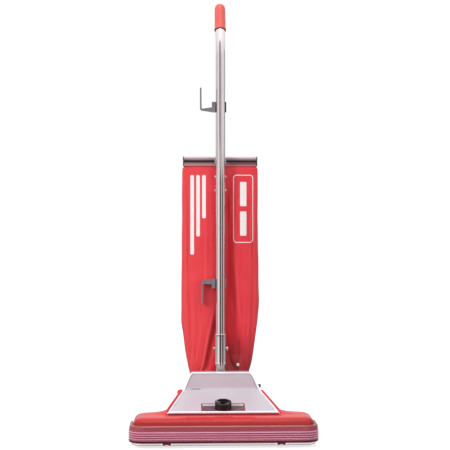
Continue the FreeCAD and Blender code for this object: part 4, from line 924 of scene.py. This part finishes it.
def drape(o, frames=14, cap=3.0):
    """A short cloth simulation that lets the coated cloth settle, with its top and its neck held."""
    rest = np.array([v.co for v in o.data.vertices], float)
    g = o.vertex_groups.new(name="held")
    for i, v in enumerate(o.data.vertices):
        z = v.co.z / mm
        w = 1.0 if (z > 676 or z < 118) else (0.25 if 40 > v.co.y / mm and abs(v.co.x / mm) < 40 else 0.0)
        if w:
            g.add([i], w, "REPLACE")
    m = o.modifiers.new("cloth", "CLOTH")
    st = m.settings
    st.quality = 6
    st.mass = 0.35
    st.tension_stiffness = 22
    st.compression_stiffness = 14
    st.shear_stiffness = 6
    st.bending_stiffness = 0.35
    st.use_pressure = True
    st.uniform_pressure_force = 0.9
    st.vertex_group_mass = "held"
    st.effector_weights.gravity = 0.35
    m.collision_settings.use_collision = False
    m.point_cache.frame_start = 1
    m.point_cache.frame_end = frames
    sc = bpy.context.scene
    for f in range(1, frames + 1):
        sc.frame_set(f)
    dg = bpy.context.evaluated_depsgraph_get()
    ev = o.evaluated_get(dg)
    now = np.array([v.co for v in ev.data.vertices], float)
    o.modifiers.clear()
    sc.frame_set(1)
    d = now - rest
    ln = np.linalg.norm(d, axis=1, keepdims=True)
    lim = cap * mm
    d = d * np.minimum(1.0, lim / np.maximum(ln, 1e-9))
    out = rest + d
    o.data.vertices.foreach_set("co", out.ravel())
    o.data.update()


drape(BAGO)


def bag_surface():
    """Vertex positions of the draped bag, for laying the snap on it."""
    co = np.array([v.co for v in BAGO.data.vertices], float)
    return co


CO = bag_surface()


def front_y(x, z):
    """The bag's front at x, z in metres."""
    m = (np.abs(CO[:, 0] - x) < 0.006) & (np.abs(CO[:, 2] - z) < 0.006) & (CO[:, 1] < 0.062)
    if not m.any():
        return 0.03
    pts = CO[m]
    d = np.hypot(pts[:, 0] - x, pts[:, 2] - z) + (pts[:, 1] - pts[:, 1].min()) * 0.4
    return float(pts[np.argmin(d), 1])


k = BAGO.modifiers.new("thick", "SOLIDIFY")
k.thickness = 0.0009
k.offset = -1.0
apply_all(BAGO)
for p in BAGO.data.polygons:
    p.use_smooth = True
# the cloth remembers its rest shape, so its prints stay put when the handle leans
rest_at = BAGO.data.attributes.new("rest_xyz", "FLOAT_VECTOR", "POINT")
rest_at.data.foreach_set("vector", np.array([v.co for v in BAGO.data.vertices], float).ravel())
rest_n = BAGO.data.attributes.new("rest_normal", "FLOAT_VECTOR", "POINT")
rest_n.data.foreach_set("vector", np.array([v.normal for v in BAGO.data.vertices], float).ravel())
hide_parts("cloth_bag")
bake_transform(BAGO)

# snap stud on the right lobe
sx, sz = 0.0475, 0.1595
sy = front_y(sx, sz)
snap = join("bag_snap", [round_bar((sx, sy + 0.0012, sz), (sx, sy - 0.0012, sz), 0.0044, 28), round_bar((sx, sy - 0.0008, sz), (sx, sy - 0.0026, sz), 0.0026, 24)])
snap.data.materials.clear()
snap.data.materials.append(MAT["snap_white"])
rounded(snap, 0.0006, 3)
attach(snap, "handle")

# ---------------------------------------------------------------- chromed tubes, socket, grip and clamp, turned smooth
TY = 0.012
WORLD_LOW, WORLD_HIGH = 0.22, 1.05


def frames_along(pts):
    """Points with their direction and a steady sideways vector (+X)."""
    out = []
    for i, p in enumerate(pts):
        a = pts[min(i + 1, len(pts) - 1)]
        b_ = pts[max(i - 1, 0)]
        d = (a - b_).normalized()
        x = Vector((1, 0, 0))
        out.append((p, d, x, d.cross(x)))
    return out


def pipe(name, pts, ro, ri, material, n=72):
    """A hollow tube along pts with closed, slightly rounded ends."""
    fr = frames_along([Vector(p) for p in pts])
    e = min(0.0004, (ro - ri) * 0.4)
    rings = []
    first, last = fr[0], fr[-1]
    rings.append((first, ri, 0.0))
    rings.append((first, ro - e, 0.0))
    rings.append((first, ro, e))
    rings += [(f, ro, 0.0) for f in fr[1:-1]]
    rings.append((last, ro, -e))
    rings.append((last, ro - e, 0.0))
    rings.append((last, ri, 0.0))
    rings += [(f, ri, 0.0) for f in fr[-2:0:-1]]
    verts, faces = [], []
    for (p, d, x, u), r, s_ in rings:
        c = p + d * s_
        verts += [c + (x * math.cos(2 * math.pi * j / n) + u * math.sin(2 * math.pi * j / n)) * r for j in range(n)]
    k = len(rings)
    for i in range(k):
        for j in range(n):
            a, b_ = i * n + j, i * n + (j + 1) % n
            c, d_ = ((i + 1) % k) * n + (j + 1) % n, ((i + 1) % k) * n + j
            faces.append((a, b_, c, d_))
    o = new_object(name, verts, faces, material)
    fix_normals(o)
    return o


def lathe(name, profile, material, origin, tilt=0.0, n=72):
    """A closed profile of (radius, height) turned about Z, tipped back about X and put at origin."""
    verts, faces = [], []
    m_ = Matrix.Rotation(tilt, 3, "X")
    k = len(profile)
    for r, h in profile:
        for j in range(n):
            t = 2 * math.pi * j / n
            verts.append(Vector(origin) + m_ @ Vector((r * math.cos(t), r * math.sin(t), h)))
    for i in range(k):
        for j in range(n):
            a, b_ = i * n + j, i * n + (j + 1) % n
            c, d_ = ((i + 1) % k) * n + (j + 1) % n, ((i + 1) % k) * n + j
            faces.append((a, b_, c, d_))
    o = new_object(name, verts, faces, material)
    fix_normals(o)
    return o


def sharp_by_angle(o, degrees=30.0):
    """Keeps the creases of a turned piece crisp."""
    b = bmesh.new()
    b.from_mesh(o.data)
    for e in b.edges:
        e.smooth = not (len(e.link_faces) == 2 and e.calc_face_angle(0.0) > math.radians(degrees))
    b.to_mesh(o.data)
    b.free()
    return o


low_tube = pipe("chrome_lower_tube", [(0, TY, 0.1996), (0, TY, 0.26), (0, TY, 0.45), (0, TY, 0.6380)], 12.7 * mm, 11.3 * mm, MAT["chrome_warm"])
R_B, A_B, Z_B = 0.130, math.radians(22.0), 0.972
up_pts = [Vector((0, TY, 0.6384)), Vector((0, TY, 0.75)), Vector((0, TY, 0.88))]
up_pts += [Vector((0, TY + R_B * (1 - math.cos(A_B * i / 24)), Z_B + R_B * math.sin(A_B * i / 24))) for i in range(25)]
ARC_END = up_pts[-1]
UP_DIR = Vector((0, math.sin(A_B), math.cos(A_B)))
up_pts += [ARC_END + UP_DIR * 0.040, ARC_END + UP_DIR * 0.0818]
up_tube = pipe("chrome_upper_tube", up_pts, 12.7 * mm, 11.3 * mm, MAT["chrome_soft"])
sleeve_low, sleeve_high = 0.164, 0.245
sleeve = lathe("chrome_socket_sleeve", [(r * mm, h) for r, h in ((12.85, sleeve_low), (15.5, sleeve_low), (15.9, sleeve_low + 0.0005), (15.9, sleeve_low + 0.0028), (15.7, sleeve_low + 0.0040), (15.3, sleeve_low + 0.0062), (15.2, sleeve_low + 0.008),
               (15.2, sleeve_high - 0.0075), (15.3, sleeve_high - 0.0055), (15.65, sleeve_high - 0.0035), (15.7, sleeve_high - 0.0025), (15.7, sleeve_high - 0.0006), (15.3, sleeve_high), (12.85, sleeve_high))], MAT["chrome_warm"], (0, TY, 0))
for o, node_name in ((low_tube, "lower_tube"), (up_tube, "upper_tube"), (sleeve, "socket_sleeve")):
    sharp_by_angle(o, 40.0)
    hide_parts(node_name)
    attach(o, "handle")

GL, GR = 78.0, 15.4
grip_o = ARC_END + UP_DIR * 0.025
grip_profile = [(12.78, 0), (14.4, 0), (15.1, 0.35), (15.4, 1.0), (15.4, 3.2), (15.1, 3.9), (14.7, 4.5), (14.5, 5.6), (14.45, 8), (14.45, 30), (14.3, 50), (14.2, GL - 14), (13.9, GL - 10.5), (13.3, GL - 7.5), (12.3, GL - 4.8), (10.8, GL - 2.8), (8.6, GL - 1.3),
                (6.0, GL - 0.5), (3.0, GL - 0.1), (0.02, GL), (0.02, GL - 8), (11.9, GL - 8), (12.5, GL - 8.6), (12.78, GL - 9.4)]
grip = lathe("red_hand_grip", [(r * mm, h * mm) for r, h in grip_profile], MAT["grip_vinyl"], grip_o, -A_B)
sharp_by_angle(grip, 48.0)
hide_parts("hand_grip")
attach(grip, "handle")
# painted shadow: a dark ring under the grip's collar
grip_shadow = tube_path("grip_collar_shadow_ring", [grip_o + UP_DIR * 0.0002 + (Vector((1, 0, 0)) * math.cos(t) + UP_DIR.cross(Vector((1, 0, 0))) * math.sin(t)) * 0.0146 for t in [2 * math.pi * i / 64 for i in range(64)]], 0.0008, MAT["maroon_rubber_and_shade"], 10, closed=True)
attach(grip_shadow, "handle")


def clamp():
    cl, ch, hx = 686.0, 711.0, 95.5
    P = [(36.5, cl), (35.2, cl + 0.2), (34.2, cl + 0.9), (33.9, cl + 2.0), (34.0, cl + 3.0), (34.6, cl + 4.4), (34.7, cl + 9.0), (35.2, cl + 10.0), (36.6, cl + 10.8), (36.8, cl + 12.0), (36.8, cl + 15.6), (36.2, cl + 16.6), (34.4, cl + 17.4), (33.7, cl + 18.6),
         (33.6, cl + 20.5), (33.9, cl + 22.6), (34.9, cl + 24.2), (36.6, ch), (47.4, ch), (49.0, ch - 0.6), (49.9, ch - 1.8), (50, ch - 3.0), (50, cl + 1.8), (49.6, cl + 0.7), (48.6, cl + 0.1), (46.4, cl), (46.4, ch - 8), (37.8, ch - 8), (37.8, cl)]
    n = len(P)
    verts = [(x * mm, y * mm, z * mm) for x in (-hx, hx) for y, z in P]
    faces = [(i, (i + 1) % n, n + (i + 1) % n, n + i) for i in range(n)] + [tuple(range(n))[::-1], tuple(range(n, 2 * n))]
    o = new_object("bag_top_clamp", verts, faces, MAT["clamp_bands"])
    fix_normals(o)
    sharp_by_angle(o, 50.0)
    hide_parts("bag_clamp")
    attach(o, "handle")


clamp()
# painted shade: a dark strip between the guard and the plate, for the guard's shaded underside
under_guard_path = [Vector((-0.2262, -0.200, 0.0148)), Vector((-0.2262, -0.225, 0.0148))]
under_guard_path += [Vector((-0.192 + 0.0342 * math.cos(math.radians(180 + a)), -0.250 + 0.0342 * math.sin(math.radians(180 + a)), 0.0148)) for a in range(0, 91, 9)]
under_guard_path += [Vector((x * mm, -0.2842, 0.0148)) for x in (-120, -40)]
under_guard_path += [Vector((-p_.x, p_.y, p_.z)) for p_ in under_guard_path[::-1]]
under_guard_shade = tube_path("guard_underside_shade", under_guard_path, 1.3 * mm, MAT["maroon_rubber_and_shade"], 10)
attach(under_guard_shade, "base")
# dark rubber pads inside the plate's two front hooks
pads = join("front_hook_pads", [block(x * mm, -0.2826, 0.0114, 9.5 * mm, 0.9 * mm, 2.3 * mm) for x in (-136, 136)])
pads.data.materials.clear()
pads.data.materials.append(MAT["maroon_rubber_and_shade"])
rounded(pads, 0.0005, 2)
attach(pads, "base")

# ---------------------------------------------------------------- brush tufts in two helical rows
by, bz, r0 = -0.238, 0.030, 0.017


def tufts():
    verts, faces = [], []
    bars = [s * b_ * mm for b_ in (14, 54, 104, 155) for s in (-1, 1)]
    step = 0.0072
    n = int(0.398 / step)
    for h in (0.0, math.pi):
        for i in range(n + 1):
            x = -0.199 + 0.001 + i * step
            if min(abs(x - q) for q in bars) < 0.0062 or abs(x) < 0.0175 or abs(x) > 0.1965:
                continue
            # quarter turns between the left and the right blades of the roll, as in the CAD roll
            a0 = (0.0 if x < 0 else math.pi / 2) + h
            a = a0 + math.radians(13.0) * math.sin(x * 46.0)
            for w in (-1.5, 0.0, 1.5):
                aa = a + math.radians(w * 1.9)
                d = Vector((0, math.cos(aa + math.pi / 2), math.sin(aa + math.pi / 2)))
                base = Vector((x, by, bz)) + d * (r0 - 0.0012)
                tip = Vector((x, by, bz)) + d * 0.0258 + Vector((0.0009 * math.sin(i * 2.3 + w), 0, 0))
                side = Vector((1, 0, 0))
                up = d.cross(side)
                o0 = len(verts)
                for p, r in ((base, 0.0011), (base.lerp(tip, 0.6), 0.0013), (tip, 0.0019)):
                    for j in range(7):
                        t = 2 * math.pi * j / 7
                        verts.append(p + side * math.cos(t) * r + up * math.sin(t) * r * 0.7)
                for q in range(2):
                    for j in range(7):
                        a_, b_ = o0 + q * 7 + j, o0 + q * 7 + (j + 1) % 7
                        faces.append((a_, b_, b_ + 7, a_ + 7))
                faces.append(tuple(o0 + j for j in range(7))[::-1])
                faces.append(tuple(o0 + 14 + j for j in range(7)))
    o = new_object("brush_tufts", verts, faces, MAT["bristle"], smooth=True)
    fix_normals(o)
    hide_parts("brush_bristles")
    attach(o, "brush_roll")


tufts()

# ---------------------------------------------------------------- stage, lights, camera
def white_sweep(name, glow, shade):
    """A stage finish that stays near white and still takes a soft contact shadow."""
    n = Net(name)
    drift = n.noise(2.0, 2.0, 0.5)
    n.set(color=n.mix(drift, (shade, shade, shade), (shade * 1.01,) * 3), rough=n.span(drift, 0.3, 0.7, 0.8, 0.9), spec=0.0)
    n.b.inputs["Emission Color"].default_value = (1.0, 1.0, 1.0, 1.0)
    n.b.inputs["Emission Strength"].default_value = glow
    return n.done()


def one_sided(m):
    """Clear from below, so the underside can be looked at through the floor."""
    t = m.node_tree
    out = [q for q in t.nodes if q.type == "OUTPUT_MATERIAL"][0]
    front = out.inputs["Surface"].links[0].from_socket
    geo = t.nodes.new("ShaderNodeNewGeometry")
    clear = t.nodes.new("ShaderNodeBsdfTransparent")
    both = t.nodes.new("ShaderNodeMixShader")
    t.links.new(geo.outputs["Backfacing"], both.inputs[0])
    t.links.new(front, both.inputs[1])
    t.links.new(clear.outputs[0], both.inputs[2])
    t.links.new(both.outputs[0], out.inputs["Surface"])
    return m


floor = new_object("studio_floor", [(-9, -6, 0), (9, -6, 0), (9, 14, 0), (-9, 14, 0)], [(0, 1, 2, 3)], one_sided(white_sweep("pale_floor", 0.72, 0.5)))
floor.visible_diffuse = False
floor.visible_glossy = False
floor.visible_transmission = False
world = bpy.data.worlds.new("studio")
bpy.context.scene.world = world
world.use_nodes = True
wt = world.node_tree
bg = wt.nodes["Background"]
wl = wt.links
path = wt.nodes.new("ShaderNodeLightPath")
wgeo = wt.nodes.new("ShaderNodeTexCoord")
sep = wt.nodes.new("ShaderNodeSeparateXYZ")
wl.new(wgeo.outputs["Generated"], sep.inputs[0])
sky = wt.nodes.new("ShaderNodeMapRange")
sky.interpolation_type = "SMOOTHSTEP"
sky.clamp = True
wl.new(sep.outputs[2], sky.inputs[0])
for i_, v_ in enumerate((-0.55, 0.75, WORLD_LOW, WORLD_HIGH), 1):
    sky.inputs[i_].default_value = v_
pick = wt.nodes.new("ShaderNodeMix")
pick.data_type = "FLOAT"
wl.new(path.outputs["Is Camera Ray"], pick.inputs[0])
wl.new(sky.outputs[0], pick.inputs[2])
pick.inputs[3].default_value = 1.02
wl.new(pick.outputs[0], bg.inputs[1])
bg.inputs[0].default_value = (1.0, 1.0, 1.0, 1.0)


def card(name, x, y, z, w, h, toward, shade):
    """A reflection card that only glossy surfaces see."""
    tone = shade if isinstance(shade, tuple) else (shade,) * 3
    o = new_object(name, [(-w / 2, 0, -h / 2), (w / 2, 0, -h / 2), (w / 2, 0, h / 2), (-w / 2, 0, h / 2)], [(0, 1, 2, 3)], plain(name + "_finish", tone, tuple(1.2 * q for q in tone), (0.9, 1.0)))
    o.location = (x, y, z)
    d = Vector(toward) - Vector((x, y, z))
    o.rotation_euler = (0, 0, math.atan2(d.y, d.x) + math.pi / 2)
    o.visible_camera = False
    o.visible_diffuse = False
    o.visible_shadow = False
    o.visible_transmission = False
    o.visible_volume_scatter = False
    return o


card("dark_card_front", -0.03, -1.5, 0.18, 0.64, 1.15, (0, 0, 0.2), 0.008)
card("brown_card_right", 1.28, -1.18, 0.15, 0.90, 1.2, (0, 0, 0.2), (0.115, 0.075, 0.068))
card("grey_card_upper", -0.38, -1.6, 1.65, 1.35, 1.6, (0, 0, 1.0), 0.42)
card("dark_card_side", 2.3, 0.6, 0.5, 0.6, 2.2, (0, 0, 0.4), 0.10)
for name_, x_, y_, z_, w_, h_, glow_ in (("glow_card_left", -1.75, -1.75, 1.05, 1.1, 2.7, 0.86), ("glow_card_right", 1.85, -1.0, 1.55, 1.2, 1.45, 0.82)):
    lit = card(name_, x_, y_, z_, w_, h_, (0, 0, z_), 0.1)
    lit.data.materials[0].node_tree.nodes["Principled BSDF"].inputs["Emission Color"].default_value = (1.0, 0.97, 0.975, 1.0)
    lit.data.materials[0].node_tree.nodes["Principled BSDF"].inputs["Emission Strength"].default_value = glow_


def area(name, loc, target, size, power, color=(1, 1, 1)):
    l = bpy.data.lights.new(name, "AREA")
    l.energy = power
    l.size = size
    l.color = color
    o = bpy.data.objects.new(name, l)
    bpy.context.collection.objects.link(o)
    o.location = loc
    o.rotation_euler = (Vector(target) - Vector(loc)).to_track_quat("-Z", "Y").to_euler()
    return o


area("key", (-2.3, -2.1, 1.5), (0, 0, 0.45), 0.8, 46).visible_glossy = False
area("fill", (1.9, -2.2, 1.0), (0, 0, 0.4), 1.6, 14).visible_glossy = False
area("top", (0.0, -0.8, 2.8), (0, -0.1, 0.3), 1.0, 8)

yaw = math.radians(2.0)
fwd = Vector((math.sin(yaw), math.cos(yaw), 0))
right = Vector((math.cos(yaw), -math.sin(yaw), 0))
cam = bpy.data.objects.new("camera", bpy.data.cameras.new("camera"))
bpy.context.collection.objects.link(cam)
cam.location = Vector((0, 0.012, 0.530)) - fwd * 3.0 + right * 0.012
cam.rotation_euler = fwd.to_track_quat("-Z", "Y").to_euler()
cam.data.sensor_width = 36
cam.data.lens = 91.4
cam.data.clip_start = 0.05
bpy.context.scene.camera = cam
bpy.context.scene.view_settings.view_transform = "Standard"
